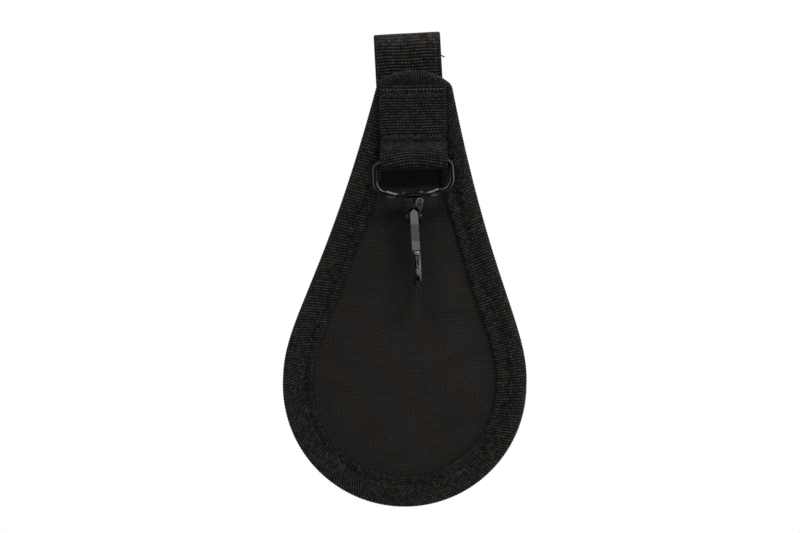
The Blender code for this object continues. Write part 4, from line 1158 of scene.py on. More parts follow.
# %% [markdown]
# ## Stitches
# A stitch is a short piece of thread that dives into the cloth at both ends. There are several
# hundred of them, so each row is kept as bare edges, one edge for a stitch, and one Geometry
# Nodes tree lays the same little arch of thread on every edge. The tree has inputs for the
# thread's radius, how deep its ends dive, and which way is up.

# %% Parts of the stitch tree
THREAD_RADIUS = 0.17 * MM
THREAD_SINK = 0.34 * MM
THREAD_SIDES = 6
THREAD_BENDS = 5
THREAD_WIDTHS = (0.9, 1.12)
STITCH_SEED = 7
TREE_INPUTS = (("Rows", "Geometry", None), ("Thread Radius", "Float", THREAD_RADIUS),
               ("Sink", "Float", THREAD_SINK), ("Up", "Vector", (0, -1, 0)),
               ("Seed", "Int", STITCH_SEED), ("Finish", "Material", None))


def enabled(sockets, name):
    """The socket in use among those of one name; some nodes keep one for each type of data."""
    return next(socket for socket in sockets if socket.name == name and socket.enabled)


def edge_middles(tree, rows):
    """A point in the middle of each edge, and the vector from the edge's first end to its last."""
    ends = add_node(tree, "GeometryNodeInputMeshEdgeVertices").outputs
    run = add_node(tree, "ShaderNodeVectorMath", {0: ends["Position 2"], 1: ends["Position 1"]},
                   operation="SUBTRACT")
    keep = add_node(tree, "GeometryNodeCaptureAttribute", domain="EDGE")
    keep.capture_items.new("VECTOR", "Run")
    feed(tree, rows, keep.inputs["Geometry"])
    feed(tree, run.outputs["Vector"], keep.inputs["Run"])
    middles = add_node(tree, "GeometryNodeMeshToPoints", {"Mesh": keep.outputs["Geometry"]},
                       mode="EDGES")
    return middles.outputs["Points"], keep.outputs["Run"]


def thread_arch(tree, sink, radius):
    """One arch of thread, a unit long, whose ends dive into the cloth."""
    low = maths(tree, "MULTIPLY", sink, -1)
    arch = add_node(tree, "GeometryNodeCurveQuadraticBezier", {
        "Resolution": THREAD_BENDS, "Start": joined(tree, X=-0.5, Z=low),
        "Middle": joined(tree, Z=sink), "End": joined(tree, X=0.5, Z=low)})
    ring = add_node(tree, "GeometryNodeCurvePrimitiveCircle",
                    {"Resolution": THREAD_SIDES, "Radius": radius})
    thread = add_node(tree, "GeometryNodeCurveToMesh", {
        "Curve": arch.outputs["Curve"], "Profile Curve": ring.outputs["Curve"], "Fill Caps": True})
    return thread.outputs["Mesh"]


# %% The stitch tree
def stitch_tree():
    """Geometry Nodes tree that lays one arch of thread along every edge."""
    tree = bpy.data.node_groups.new("stitch_row", "GeometryNodeTree")
    for name, kind, value in TREE_INPUTS:
        socket = tree.interface.new_socket(name=name, in_out="INPUT", socket_type="NodeSocket" + kind)
        if value is not None:
            socket.default_value = value
    tree.interface.new_socket(name="Stitches", in_out="OUTPUT", socket_type="NodeSocketGeometry")
    given = add_node(tree, "NodeGroupInput").outputs
    points, run = edge_middles(tree, given["Rows"])
    along = add_node(tree, "FunctionNodeAlignRotationToVector", {"Vector": run}, axis="X")
    upright = add_node(tree, "FunctionNodeAlignRotationToVector",
                       {"Rotation": along.outputs["Rotation"], "Vector": given["Up"]},
                       axis="Z", pivot_axis="X")
    length = add_node(tree, "ShaderNodeVectorMath", {0: run}, operation="LENGTH").outputs["Value"]
    uneven = add_node(tree, "FunctionNodeRandomValue", {"Seed": given["Seed"]}, data_type="FLOAT")
    for name, value in zip(("Min", "Max"), THREAD_WIDTHS):
        enabled(uneven.inputs, name).default_value = value
    wide = enabled(uneven.outputs, "Value")
    laid = add_node(tree, "GeometryNodeInstanceOnPoints", {
        "Points": points, "Instance": thread_arch(tree, given["Sink"], given["Thread Radius"]),
        "Rotation": upright.outputs["Rotation"], "Scale": joined(tree, X=length, Y=wide, Z=wide)})
    real = add_node(tree, "GeometryNodeRealizeInstances", {"Geometry": laid.outputs["Instances"]})
    smooth = add_node(tree, "GeometryNodeSetShadeSmooth", {"Geometry": real.outputs["Geometry"]})
    finish = add_node(tree, "GeometryNodeSetMaterial",
                      {"Geometry": smooth.outputs["Geometry"], "Material": given["Finish"]})
    add_node(tree, "NodeGroupOutput", {"Stitches": finish.outputs["Geometry"]})
    return tree


stitch_row = stitch_tree()
print("stitch tree has", len(stitch_row.nodes), "nodes")


# %% Laying a row
def sewn_row(name, holes, up, radius=THREAD_RADIUS, finish=thread_finish):
    """Lay stitches over pairs of needle holes and keep them as a plain mesh."""
    flat = np.asarray(holes).reshape(-1, 3)
    edges = [(first, first + 1) for first in range(0, len(flat), 2)]
    row = bpy.data.meshes.new(name)
    row.from_pydata(flat.tolist(), edges, [])
    piece = in_scene(name, row)
    rows = piece.modifiers.new("stitches", "NODES")
    rows.node_group = stitch_row
    inputs = {item.name: item.identifier for item in stitch_row.interface.items_tree
              if item.in_out == "INPUT"}
    for socket, value in (("Thread Radius", radius), ("Sink", THREAD_SINK), ("Up", up),
                          ("Seed", STITCH_SEED), ("Finish", finish)):
        rows[inputs[socket]] = value
    print(name, "holds", len(edges), "stitches")
    return add_piece(name, finished_mesh(piece), "pad", finish)


# %% [markdown]
# The seam of the binding keeps seven to nine millimetres from the edge, and shows on both sides
# of the pad. The strap is sewn down by two bands of zigzag rows with a cross of stitches between
# them and one row of yarn above, painted pale as a glint. The belt loop's ends have a box with a cross.

# %% Seam round the edge
SEAM_COVER = 0.78
SEAM_STEPS = 20
SEAM_SUNK = 0.7
THREAD_LIFT = 0.05 * MM

seam_edge, seam_toward, _ = closed_outline(stitch_count * SEAM_STEPS)
seam_lengths = np.arange(len(seam_edge)) * perimeter / len(seam_edge)
seam_line = seam_edge + seam_toward * along_edge(seam_lengths, SEAM_COURSE)[:, None] * MM
bare = round(SEAM_STEPS * (1 - SEAM_COVER) / 2)
starts, ends = seam_line[bare::SEAM_STEPS], seam_line[SEAM_STEPS - bare::SEAM_STEPS]
covered = (np.abs(starts[:, 0]) < STRAP_HALF_WIDTH) & (starts[:, 1] > STRAP_LOW)
front_y = TAPE_FRONT_FACE + SEAM_DIP * SEAM_SUNK - THREAD_LIFT
back_y = TAPE_REAR_FACE - SEAM_DIP * SEAM_SUNK + THREAD_LIFT
for name, y, kept, up in (("seam_front", front_y, ~covered, (0, -1, 0)),
                          ("seam_back", back_y, slice(None), (0, 1, 0))):
    pairs = np.stack([np.insert(spots[kept], 1, y, axis=1) for spots in (starts, ends)], 1)
    sewn_row(name, pairs, up, finish=seam_finish)

# %% Straight and zigzag rows
ROW_STITCH = 2.0 * MM
YARN_RADIUS = 0.22 * MM
ZIGZAG_PITCHES = (1.5 * MM, 2.1 * MM, 3.0 * MM)
ZIGZAG_SLIP = 0.45 * MM
ZIGZAG_SHORT = 0.4
ROW_INSET = 1.1 * MM
BOX_INSET = 1.4 * MM
FIRST_ROW_STITCH = 1.35 * MM
OPEN_SINK = 0.1 * MM
stitch_random = np.random.default_rng(STITCH_SEED)


def straight_row(start, end, y, stitch=ROW_STITCH, cover=0.8):
    """Pairs of holes along a straight line between two (x, z) points."""
    start, end = np.array(start), np.array(end)
    count = max(1, round(float(np.hypot(*(end - start))) / stitch))
    bare = (1 - cover) / 2
    ends = [start + (end - start) * ((np.arange(count) + share) / count)[:, None]
            for share in (bare, 1 - bare)]
    return np.stack([np.insert(spots, 1, y, axis=1) for spots in ends], 1)


def zigzag_band(low, high, half, y):
    """Pairs of holes of a few uneven zigzags, sewn over each other between two heights."""
    passes = []
    for pitch in ZIGZAG_PITCHES:
        x = np.arange(-half, half, pitch / 2)
        short = stitch_random.uniform(0, ZIGZAG_SHORT, len(x))
        short = np.where(np.arange(len(x)) % 2 == 0, short, 1 - short)
        z = low + (high - low) * short
        x = np.clip(x + stitch_random.normal(0, ZIGZAG_SLIP, len(x)), -half, half)
        holes = np.stack([x, np.full(len(x), y), z], 1)
        passes.append(np.stack([holes[:-1], holes[1:]], 1))
    return np.concatenate(passes)


# %% Rows on the strap
strap_y = STRAP_FRONT_RUN - WEBBING_THICKNESS / 2 + SEWN_DEPTH - THREAD_LIFT
strap_half = STRAP_HALF_WIDTH - ROW_INSET
high, upper, lower, low = TACK_ROWS
open_y = STRAP_FRONT_RUN - WEBBING_THICKNESS / 2 + OPEN_SINK
rows = np.concatenate([
    zigzag_band(upper, high - 0.7 * MM, strap_half, strap_y),
    zigzag_band(low, lower, strap_half, strap_y),
    straight_row((-strap_half, upper), (strap_half, lower), open_y),
    straight_row((strap_half, upper), (-strap_half, lower), open_y),
])


def on_strap(rows):
    """Pairs of holes turned with the strap."""
    return np.array([STRAP_TURN @ Vector(hole) for hole in rows.reshape(-1, 3)]).reshape(-1, 2, 3)


sewn_row("strap_stitches", on_strap(rows), (0, -1, 0))
first_row = straight_row((-strap_half, high), (strap_half, high), open_y, FIRST_ROW_STITCH, 0.7)
sewn_row("strap_first_row", on_strap(first_row), (0, -1, 0), YARN_RADIUS, glint_yarn_finish)

# %% Box on the loop's ends
rear_y = STACKED_RUN + WEBBING_THICKNESS / 2 - SEWN_DEPTH + THREAD_LIFT
box_top, box_low = LOOP_TACK_TOP - BOX_INSET, LOOP_LOW.z + BOX_INSET
corners = [(-strap_half, box_top), (strap_half, box_top), (strap_half, box_low), (-strap_half, box_low)]
lines = [*zip(corners, corners[1:] + corners[:1]), corners[::2], corners[1::2]]
sewn_row("loop_stitches", np.concatenate([straight_row(a, b, rear_y) for a, b in lines]), (0, 1, 0))

# %% [markdown]
# One warp yarn of the belt loop has worked loose near its right edge. It lies on the ribs as a
# line of dashes painted pale as a highlight, and its end sticks out at the side.

# %% Loose yarn on the loop
LOOSE_X = 10.4 * MM
LOOSE_TOP = -1.2 * MM
LOOSE_LOW = -20 * MM
loose_y = -LOOP_RUN - WEBBING_THICKNESS / 2 + OPEN_SINK

dashes = straight_row((LOOSE_X, LOOSE_TOP), (LOOSE_X, LOOSE_LOW), loose_y, LOOP_RIB_PITCH, 0.6)
frayed = [[(12.5 * MM, loose_y + 0.7 * MM, -7.6 * MM), (13.9 * MM, loose_y + 0.7 * MM, -8.5 * MM)]]
loose = np.concatenate([dashes, frayed])
loose = leaned(loose.reshape(-1, 3)).reshape(-1, 2, 3)
sewn_row("painted_glint_yarn", loose, (0, -1, 0), YARN_RADIUS, glint_yarn_finish)

# %% [markdown]
# ## Metal effects as shader groups
# Blackened steel wears through on its edges first, so one group turns an edge attribute of the
# mesh into a broken mask of bare metal; on the wire, the saddle and the hook the same attribute
# also places painted highlights. Another gives fine scratches: noise that is squeezed
# thin in one direction and kept only where it peaks.

# %% Wear and scratch groups
GRAIN_GAIN = 1.9
PATCH_SHARPNESS = 3
SCRATCH_FLOOR = 0.62
SCRATCH_SHARPNESS = 9


def clamped(tree, value):
    """A value held between 0 and 1."""
    return add_node(tree, "ShaderNodeClamp", {"Value": value}).outputs["Result"]


edge_wear, into, out = new_group(
    "edge_wear", {"Vector": None, "Edge": 0, "Amount": 0.5, "Patch": 1.2 * MM}, ("Mask",))
tree = edge_wear
grain = two_noises(tree, into, 7, 0.3)
need = maths(tree, "SUBTRACT", 1, into["Amount"])
above = maths(tree, "SUBTRACT", maths(tree, "MULTIPLY", grain, GRAIN_GAIN), need)
share = maths(tree, "MULTIPLY", maths(tree, "MULTIPLY", above, PATCH_SHARPNESS), into["Edge"])
feed(tree, clamped(tree, share), out["Mask"])

fine_scratches, into, out = new_group(
    "fine_scratches", {"Vector": None, "Stretch": 14.0, "Fineness": 0.12 * MM}, ("Height", "Mask"))
tree = fine_scratches
parts = split(tree, into["Vector"])
drawn = joined(tree, X=parts["X"], Y=parts["Y"], Z=maths(tree, "DIVIDE", parts["Z"], into["Stretch"]))
lines = noise(tree, drawn, maths(tree, "DIVIDE", 1, into["Fineness"]), 2)
feed(tree, lines, out["Height"])
peaks = maths(tree, "MULTIPLY", maths(tree, "SUBTRACT", lines, SCRATCH_FLOOR), SCRATCH_SHARPNESS)
feed(tree, clamped(tree, peaks), out["Mask"])
print("groups", edge_wear.name, "and", fine_scratches.name)

# %% [markdown]
# Black oxide is a thin dark skin on steel, nearly black face on. The wire's two thin bright rims
# are a painted highlight: Layer Weight lightens the base colour where the surface turns from the
# view. Under the wear mask the bare steel shows. The gate is satin steel with a darker band in the
# middle.

# %% Black oxide
COAT_BLACK = (0.0064, 0.0060, 0.0056)
PAINTED_RIM_GREY = (0.50, 0.50, 0.49)
BARE_STEEL = (0.20, 0.195, 0.185)
PAINTED_RIM_POWER = 3


def colour_mix(tree, factor, low, high):
    """A colour that goes from one to another; either may be a socket."""
    node = add_node(tree, "ShaderNodeMix", data_type="RGBA")
    feed(tree, factor, enabled(node.inputs, "Factor"))
    for value, name in ((low, "A"), (high, "B")):
        feed(tree, (*value, 1) if isinstance(value, tuple) else value, enabled(node.inputs, name))
    return enabled(node.outputs, "Result")


def black_finish(name, wear, rim, rough):
    """Black oxide on steel, bare where its edges wear, with a painted highlight at its grazing rims."""
    material, tree, shader = new_finish(name, COAT_BLACK, 0.3, metallic=1.0)
    spot = object_spot(tree)
    mask = place_group(tree, edge_wear, Vector=spot, Edge=reads(tree, "edge_wear"), Amount=wear)["Mask"]
    scratches = place_group(tree, fine_scratches, Vector=spot)
    grazing = add_node(tree, "ShaderNodeLayerWeight").outputs["Facing"]
    painted_rim_share = maths(tree, "MULTIPLY", maths(tree, "POWER", grazing, PAINTED_RIM_POWER), rim)
    # Painted highlight: the base colour turns light grey towards the grazing rims.
    coat = colour_mix(tree, painted_rim_share, COAT_BLACK, PAINTED_RIM_GREY)
    feed(tree, colour_mix(tree, mask, coat, BARE_STEEL), shader.inputs["Base Color"])
    worn = scaled(tree, mask, 0.1, rough)
    feed(tree, scaled(tree, scratches["Mask"], 0.15, worn), shader.inputs["Roughness"])
    bump(tree, shader, scratches["Height"], 0.005 * MM, 0.5)
    return material


# %% Metal finishes
SATIN_GREY = (0.064, 0.066, 0.062)
BRIGHT_STEEL = (0.34, 0.335, 0.32)
DARK_BAND_HEIGHT = -74.6 * MM
DARK_BAND_HALF = 3.1 * MM
DARK_BAND_FADE = 0.5 * MM
DARK_BAND_TONE = 0.6

black_steel = black_finish("black_steel", 0.45, 0.08, 0.3)
black_wire = black_finish("black_wire", 0.45, 2.4, 0.2)
black_pressed = black_finish("black_pressed", 0.45, 0.06, 0.62)

satin_steel, tree, shader = new_finish("satin_steel", SATIN_GREY, 0.42, metallic=1.0)
spot = object_spot(tree)
scratches = place_group(tree, fine_scratches, Vector=spot, Stretch=18.0, Fineness=0.1 * MM)
# The gate's colour is darker in a band across its middle.
away = maths(tree, "ABSOLUTE", maths(tree, "SUBTRACT", split(tree, spot)["Z"], DARK_BAND_HEIGHT))
dark_band = add_node(tree, "ShaderNodeMapRange", {
    "Value": away, "From Min": DARK_BAND_HALF - DARK_BAND_FADE, "From Max": DARK_BAND_HALF + DARK_BAND_FADE,
    "To Min": DARK_BAND_TONE}, interpolation_type="SMOOTHSTEP")
shade(tree, shader, SATIN_GREY, dark_band.outputs["Result"], scaled(tree, scratches["Height"], 0.5, 0.75),
      scaled(tree, reads(tree, "edge_wear"), 0.35, 1))
feed(tree, scaled(tree, scratches["Mask"], 0.2, 0.38), shader.inputs["Roughness"])
bump(tree, shader, scratches["Height"], 0.008 * MM, 0.7)

spring_steel, tree, shader = new_finish("spring_steel", BRIGHT_STEEL, 0.3, metallic=1.0)
spot = object_spot(tree)
scratches = place_group(tree, fine_scratches, Vector=spot)
feed(tree, scaled(tree, scratches["Height"], 0.3, 0.18), shader.inputs["Roughness"])
bump(tree, shader, scratches["Height"], 0.004 * MM, 0.5)
print("metal finishes:", ", ".join(material.name for material in (
    black_steel, black_wire, black_pressed, satin_steel, spring_steel)))

# %% [markdown]
# ## Where the bail and the hook hang
# The frame's joints give the places and axes of the bail and the hook, so pieces that are made
# anew can be drawn upright in their own frame and then set where they hang.

# %% Frames of the bail and the hook
SWIVEL_HEIGHT = -14.55 * MM


def set_frame(x, z, origin):
    """A matrix from unit X and Z directions and an origin."""
    turn = Matrix((x, z.cross(x), z)).transposed()
    return Matrix.Translation(origin) @ turn.to_4x4()


bail_x = -Vector(joints["bail_swing"]["axis"]).normalized()
hook_x = Vector(joints["gate_open"]["axis"]).normalized()
hook_z = Vector(joints["hook_swivel"]["axis"]).normalized()
bail_z = (hook_z - bail_x * hook_z.dot(bail_x)).normalized()
swivel = Vector(joints["hook_swivel"]["pos_m"])
bail_frame = set_frame(bail_x, bail_z, BAIL_AXIS)
hook_frame = set_frame(hook_x, hook_z, swivel - hook_z * SWIVEL_HEIGHT)
SADDLE_MIDDLE = (bail_frame.inverted() @ swivel).x
for name, side in (("bail", bail_x), ("hook", hook_x)):
    print(name, "leans", round(degrees(side.angle(Vector((1, 0, 0)))), 2), "degrees")
print("the saddle sits", round(SADDLE_MIDDLE / MM, 2), "mm from the bail's middle")

# %% [markdown]
# ## Bail wire
# The bail is one length of 2 mm wire bent to a rounded rectangle, with both ends under the
# saddle. A round section is carried along the bent path, and the ends are rounded over. Its
# lower bends are bare and bright on the inside, partly wear and partly a painted highlight turned
# towards the front view, and the wear attribute tells the finish.

# %% Bail wire
WIRE_RADIUS = 1.0 * MM
BAIL_HALF_WIDTH = 14.4 * MM
BAIL_LENGTH = 11.6 * MM
BAIL_TOP_BEND = 2.8 * MM
BAIL_LOW_BEND = 4.5 * MM
WIRE_END = 1.6 * MM
WIRE_SIDES = 28
RUB_AND_HIGHLIGHT_START = -6 * MM
RUB_AND_HIGHLIGHT_TURN = radians(28)
WIRE_WEAR_AND_HIGHLIGHT = 0.9
RUB_AND_HIGHLIGHT_FOCUS = 8


def tube_skin(name, path, radius, sides, wear=0.0):
    """A round wire along a flat path of (x, z) points, drawn in at both ends."""
    spots, normals, along = even_path(path, radius * 0.3)
    end = np.minimum(along, along[-1] - along)
    drawn_in = 0.75 * (1 - np.clip(end / (radius * 0.35), 0, 1)) ** 2
    thick = radius * np.sqrt(1 - drawn_in)
    turn = np.arange(sides) * 2 * pi / sides
    points = np.zeros((len(along), sides, 3))
    for axis, column in ((0, 0), (2, 1)):
        reach = normals[:, column, None] * thick[:, None] * np.cos(turn)
        points[:, :, axis] = spots[:, column, None] + reach
    points[:, :, 1] = thick[:, None] * np.sin(turn)
    around = np.linspace(0, 2 * pi * radius, sides + 1)
    return skin(name, points, along[:, None], around, edge_wear=wear)


wire_path = filleted((
    (SADDLE_MIDDLE + WIRE_END, -BAIL_LENGTH),
    (BAIL_HALF_WIDTH, -BAIL_LENGTH, BAIL_LOW_BEND),
    (BAIL_HALF_WIDTH, 0, BAIL_TOP_BEND),
    (-BAIL_HALF_WIDTH, 0, BAIL_TOP_BEND),
    (-BAIL_HALF_WIDTH, -BAIL_LENGTH, BAIL_LOW_BEND),
    (SADDLE_MIDDLE - WIRE_END, -BAIL_LENGTH),
))
wire_mesh = tube_skin("bail_ring", wire_path, WIRE_RADIUS, WIRE_SIDES)
# Partly wear, partly painted highlight: a bare band on the bends, facing the front and inward.
on_bends = smoothstep((RUB_AND_HIGHLIGHT_START - coordinates(wire_mesh)[:, 2].reshape(-1, WIRE_SIDES)) / (3 * MM))
facing_in = np.clip(np.cos(np.arange(WIRE_SIDES) * 2 * pi / WIRE_SIDES + RUB_AND_HIGHLIGHT_TURN), 0, 1) ** RUB_AND_HIGHLIGHT_FOCUS
wire_mesh.attributes["edge_wear"].data.foreach_set("value", (WIRE_WEAR_AND_HIGHLIGHT * on_bends * facing_in).ravel())
wire_mesh.transform(bail_frame)
add_piece("bail_ring", wire_mesh, "bail", black_wire, ("bail_wire",), "black_steel")

# %% [markdown]
# ## Saddle
# The saddle is pressed from sheet: a channel whose front rim curves like a smile, with a raised
# block in the middle where it is stamped round the rivet, and two lobes behind that close over
# the wire. A grid is bent to the channel, once for its outside and once for its inside.

# %% Sizes of the saddle
SADDLE_HALF = 9.75 * MM
SADDLE_INNER = 1.3 * MM
SADDLE_SHEET = 0.8 * MM
SADDLE_RIM = -12.8 * MM
SADDLE_END_RIM = -11.4 * MM
SMILE = 3.5
SADDLE_LOBE_RIM = -13.3 * MM
SADDLE_LOBE = (7.7 * MM, 2.3 * MM)
SADDLE_REAR_RIM = -12.3 * MM
BLOCK_HALF = 2.5 * MM
BLOCK_SLOPE = 1.5 * MM
BLOCK_RISE = 0.35 * MM
ENDS_LOW = 0.6 * MM
SLOPE_HIGHLIGHT = 0.13
MIDDLE_RIM_HIGHLIGHT = 0.05
LOBE_HIGHLIGHT = 0.6
RIM_HIGHLIGHT_HEIGHT = 0.6 * MM
RIM_HIGHLIGHT_START = 5 * MM
LOBE_HIGHLIGHT_START = 6 * MM
print("saddle", round(2 * SADDLE_HALF / MM, 1), "mm wide")


# %% Saddle
def saddle_skin(columns=97, arch_rows=14, wall_rows=9):
    """Outside and inside of the channel in one closed grid, in the bail's frame."""
    x = np.linspace(-SADDLE_HALF, SADDLE_HALF, columns)[:, None]
    share = np.abs(x) / SADDLE_HALF
    front = SADDLE_RIM + (SADDLE_END_RIM - SADDLE_RIM) * share ** SMILE
    lobe = np.clip(1 - ((np.abs(x) - SADDLE_LOBE[0]) / SADDLE_LOBE[1]) ** 2, 0, 1)
    rear = SADDLE_REAR_RIM + (SADDLE_LOBE_RIM - SADDLE_REAR_RIM) * np.sqrt(lobe)
    sink = ENDS_LOW * np.clip(2 * share - 1, 0, 1)
    block = BLOCK_RISE * smoothstep((BLOCK_HALF + BLOCK_SLOPE - np.abs(x)) / BLOCK_SLOPE)
    wall = np.linspace(0, 1, wall_rows)[:-1]
    turn = np.linspace(pi, 0, arch_rows)
    layers = []
    for radius, raised in ((SADDLE_INNER + SADDLE_SHEET, block), (SADDLE_INNER, block * 0.6)):
        front_y = -radius - raised * np.sin(pi * np.clip(wall * 1.15, 0, 1)) ** 0.6
        front_z = front + (-BAIL_LENGTH - front) * wall
        arch_y = radius * np.cos(turn) + 0 * x
        arch_z = -BAIL_LENGTH + np.sin(turn) * (radius - sink)
        rear_y = radius + 0 * x + 0 * wall
        rear_z = -BAIL_LENGTH + (rear + BAIL_LENGTH) * (wall + 1 / (wall_rows - 1))
        layers.append((np.concatenate([front_y, arch_y, rear_y], 1),
                       np.concatenate([front_z, arch_z, rear_z], 1)))
    (out_y, out_z), (in_y, in_z) = layers
    y = np.concatenate([out_y, in_y[:, ::-1]], 1)
    z = np.concatenate([out_z, in_z[:, ::-1]], 1)
    points = np.stack([np.broadcast_to(x, y.shape), y, z], 2)
    u = np.linspace(0, 2 * SADDLE_HALF, columns + 1)[:-1, None]
    v = np.linspace(0, 12 * MM, points.shape[1] + 1)
    # Painted highlights held in the wear attribute: the block's slanted slopes, the front rim's smile
    # towards the ends and the lobes behind are painted lighter where light falls on them.
    rims = np.zeros(points.shape[:2])
    slope = np.exp(-((np.abs(x) - BLOCK_HALF - BLOCK_SLOPE / 2) / (0.7 * MM)) ** 2)
    rims[:, 1:wall_rows - 1] = SLOPE_HIGHLIGHT * slope
    near_rim = smoothstep((RIM_HIGHLIGHT_HEIGHT - (out_z - front)) / (0.3 * MM)) * (out_y < 0)
    towards_ends = smoothstep((np.abs(x) - RIM_HIGHLIGHT_START) / (1.5 * MM))
    rim_highlight = MIDDLE_RIM_HIGHLIGHT + (1 - MIDDLE_RIM_HIGHLIGHT) * towards_ends
    rims[:, :out_y.shape[1]] = np.maximum(rims[:, :out_y.shape[1]], near_rim * rim_highlight)
    rims[:, -1:] = rim_highlight
    lobe_highlight = LOBE_HIGHLIGHT * smoothstep((np.abs(x) - LOBE_HIGHLIGHT_START) / MM)
    rims[:, out_y.shape[1]:out_y.shape[1] + wall_rows] = lobe_highlight
    return skin("saddle_plate", points, u, v, edge_wear=rims)


saddle_mesh = saddle_skin()
saddle_mesh.transform(bail_frame @ Matrix.Translation((SADDLE_MIDDLE, 0, 0)))
saddle_mesh.set_sharp_from_angle(angle=SHARP_SHADING)
add_piece("saddle_plate", saddle_mesh, "bail", black_pressed, ("bail_saddle",), "black_steel")

# %% [markdown]
# ## Hook, gate and rivets
# The frame's own hook, gate, spring and rivets have the right shapes, but their edges are knife
# sharp, and no pressed part has such edges. Each one is copied and its doubled points are merged.
# Except on the spring, its outer edges are bevelled by about a tenth of a millimetre, and the
# bevel's faces carry the attribute of wear, which on the hook's bill is partly painted highlight.
# Weighted normals keep the flat faces flat next to the small roundings.

# %% Where the hook is worn and where its highlights are painted
BILL_TOP = -35 * MM
BILL_WALL = 1 * MM
from_hook = hook_frame.inverted()


def rub_and_highlight_marks(spot):
    """How much wear and painted highlight an edge gets at a spot in the hook's own frame: mostly on the
    bill, most of all on its right side.
    """
    if spot.z > BILL_TOP:
        return 0.03
    return 0.75 if spot.x > 0 else 0.1


def bill_floor_wear_and_highlight(form, wear):
    """The floor of the bill's channel is bare towards its right wall: partly wear from keys, partly a
    painted highlight.
    """
    for face in form.faces:
        centre = from_hook @ face.calc_center_median()
        facing = from_hook.to_3x3() @ face.normal
        if centre.z < BILL_TOP and abs(centre.x) < BILL_WALL and facing.y < -0.7:
            for corner in face.loops:
                x = (from_hook @ corner.vert.co).x
                corner[wear] = float(smoothstep(0.5 + x / BILL_WALL))


# %% Bevelled copies of the metal parts
CONVEX_ANGLE = radians(28)
BEVEL_STYLE = {"offset_type": "OFFSET", "segments": 2, "profile": 0.5, "affect": "EDGES"}


def rounded(name, node, bevel, worn):
    """A copy of a frame node with its convex edges bevelled and marked for wear."""
    form = bmesh.new()
    form.from_mesh(frame["nodes"][node].data)
    bmesh.ops.remove_doubles(form, verts=form.verts, dist=0.002 * MM)
    bmesh.ops.dissolve_limit(form, angle_limit=radians(1), verts=form.verts, edges=form.edges)
    wear = form.loops.layers.float.new("edge_wear")
    hard = [edge for edge in form.edges
            if edge.is_manifold and edge.calc_face_angle_signed(0) > CONVEX_ANGLE]
    if bevel:
        made = bmesh.ops.bevel(form, geom=hard, offset=bevel, clamp_overlap=False, **BEVEL_STYLE)
        for corner in (corner for face in made["faces"] for corner in face.loops):
            corner[wear] = rub_and_highlight_marks(from_hook @ corner.vert.co) if node == "hook_body" else worn
    bmesh.ops.triangulate(form, faces=[face for face in form.faces if len(face.verts) > 4])
    if node == "hook_body":
        bill_floor_wear_and_highlight(form, wear)
    copied = bpy.data.meshes.new(name)
    form.to_mesh(copied)
    form.free()
    copied.materials.clear()
    copied.shade_smooth()
    copied.set_sharp_from_angle(angle=SHARP_SHADING)
    piece = in_scene(name, copied)
    piece.modifiers.new("flat", "WEIGHTED_NORMAL").keep_sharp = True
    return finished_mesh(piece)


# Each copy's name, node, body, finish, slot, bevel in mm and wear along its edges. The hook's wear
# and painted highlights differ from place to place, so rub_and_highlight_marks gives them.
METAL_COPIES = (
    ("swivel_rivet", "swivel_post", "bail", black_pressed, "black_steel", 0.10, 0.05),
    ("swivel_disc", "swivel_washer", "bail", black_pressed, "black_steel", 0.10, 0.05),
    ("snap_hook", "hook_body", "hook", black_steel, "black_steel", 0.12, 0),
    ("cross_rivet", "gate_rivet", "hook", black_steel, "black_steel", 0.08, 0.5),
    ("latch_spring", "gate_spring", "hook", spring_steel, "spring_steel", 0, 0),
    ("spring_gate", "gate", "gate", satin_steel, "satin_steel", 0.10, 0.4),
)
for name, node, body, finish, slot, bevel, worn in METAL_COPIES:
    mesh = rounded(name, node, bevel * MM, worn)
    add_piece(name, mesh, body, finish, (node,), slot)

# %% [markdown]
# The head of the hook is pressed from sheet. Two ears are folded over its front: the left one
# lies flat, and the right one is rolled into a loop. A small tongue closes the place between
# them, just above the gate. The flat ones are a third of a millimetre thick.

# %% Ears of the hook's head
EAR_SEAT = -4.5 * MM
EAR_RISE = 0.32 * MM
EAR_BEVEL = 0.08 * MM
ROLL_RADIUS = 0.4 * MM
ROLL_SIDES = 12
# Corners (x, z) of the plates in the hook's own frame, in mm; a third number is a bend's radius.
LEFT_EAR = ((-2.9, -14.5), (-0.75, -14.8), (0.0, -16.2), (-0.4, -17.7), (-1.3, -19.2), (-2.1, -19.4),
            (-3.5, -15.4))
HEAD_TONGUE = ((-0.3, -17.2), (0.5, -17.2), (0.95, -18.4), (-0.9, -18.4))
RIGHT_EAR = ((2.5, -19.6), (0.85, -17.2, 0.7), (1.95, -14.95, 0.7), (3.65, -15.4, 0.7), (3.0, -18.1, 2),
             (2.6, -19.8))
RIGHT_FOLD = ((1.15, -17.2), (2.1, -15.2), (3.3, -15.5), (2.8, -17.9), (2.5, -19.2))


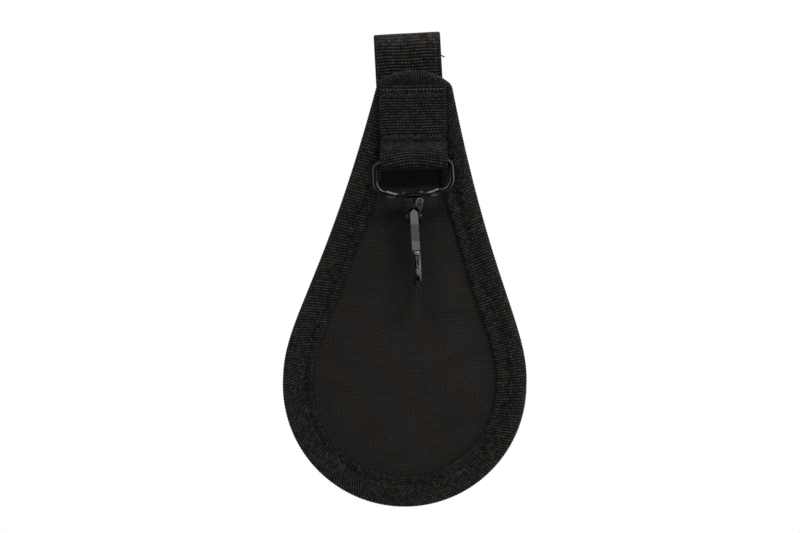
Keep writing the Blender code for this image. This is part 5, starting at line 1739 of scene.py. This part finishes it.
def ear_plate(form, corners, wear, worn):
    """A thin bevelled plate on the head's face from (x, z) corners in mm."""
    low = [form.verts.new((x * MM, EAR_SEAT, z * MM)) for x, z in corners]
    face = form.faces.new(low)
    lifted = bmesh.ops.extrude_face_region(form, geom=[face])["geom"]
    top = [item for item in lifted if isinstance(item, bmesh.types.BMVert)]
    for corner in top:
        corner.co.y -= EAR_RISE
        corner[wear] = worn
    edges = {edge for corner in top for edge in corner.link_edges}
    rim = [edge for edge in edges if all(end in top for end in edge.verts)]
    bmesh.ops.bevel(form, geom=rim, offset=EAR_BEVEL, **BEVEL_STYLE)


form = bmesh.new()
wear = form.verts.layers.float.new("edge_wear")
for corners, worn in ((LEFT_EAR, 0.02), (HEAD_TONGUE, 0.04), (RIGHT_FOLD, 0.07)):
    ear_plate(form, corners, wear, worn)
bmesh.ops.recalc_face_normals(form, faces=form.faces)
roll_path = filleted([tuple(value * MM for value in corner) for corner in RIGHT_EAR])
roll = tube_skin("roll", roll_path, ROLL_RADIUS, ROLL_SIDES)
# Painted highlight: the rolled ear is painted brighter towards its top, which faces the light above.
roll_highlight = 0.08 + 0.24 * smoothstep((coordinates(roll)[:, 2] + 18.5 * MM) / (4 * MM))
roll.attributes["edge_wear"].data.foreach_set("value", roll_highlight)
roll.transform(Matrix.Translation((0, EAR_SEAT - EAR_RISE / 2, 0)))
form.from_mesh(roll)
ears = bpy.data.meshes.new("head_ears")
form.to_mesh(ears)
form.free()
ears.shade_smooth()
ears.set_sharp_from_angle(angle=SHARP_SHADING)
ears.transform(hook_frame)
add_piece("head_ears", ears, "hook", black_steel)

# %% [markdown]
# ## The stiffening board
# The board inside the pad never shows, but it is a real part, so it gets its own finish too:
# matt black plastic sheet with a faint moulded grain.

# %% Board finish
BOARD_BLACK = (0.03, 0.03, 0.03)
BOARD_GRAIN = 0.5 * MM

board_finish, tree, shader = new_finish("board_plastic", BOARD_BLACK, 0.6, specular=0.3)
spot = object_spot(tree)
grain = noise(tree, spot, 1 / BOARD_GRAIN, 3)
shade(tree, shader, BOARD_BLACK, scaled(tree, grain, 0.5, 0.75))
bump(tree, shader, grain, 0.03 * MM, 0.6)
board = frame["nodes"]["stiffener_board"]
board.data.materials.clear()
board.data.materials.append(board_finish)
print("board finished with", board_finish.name)
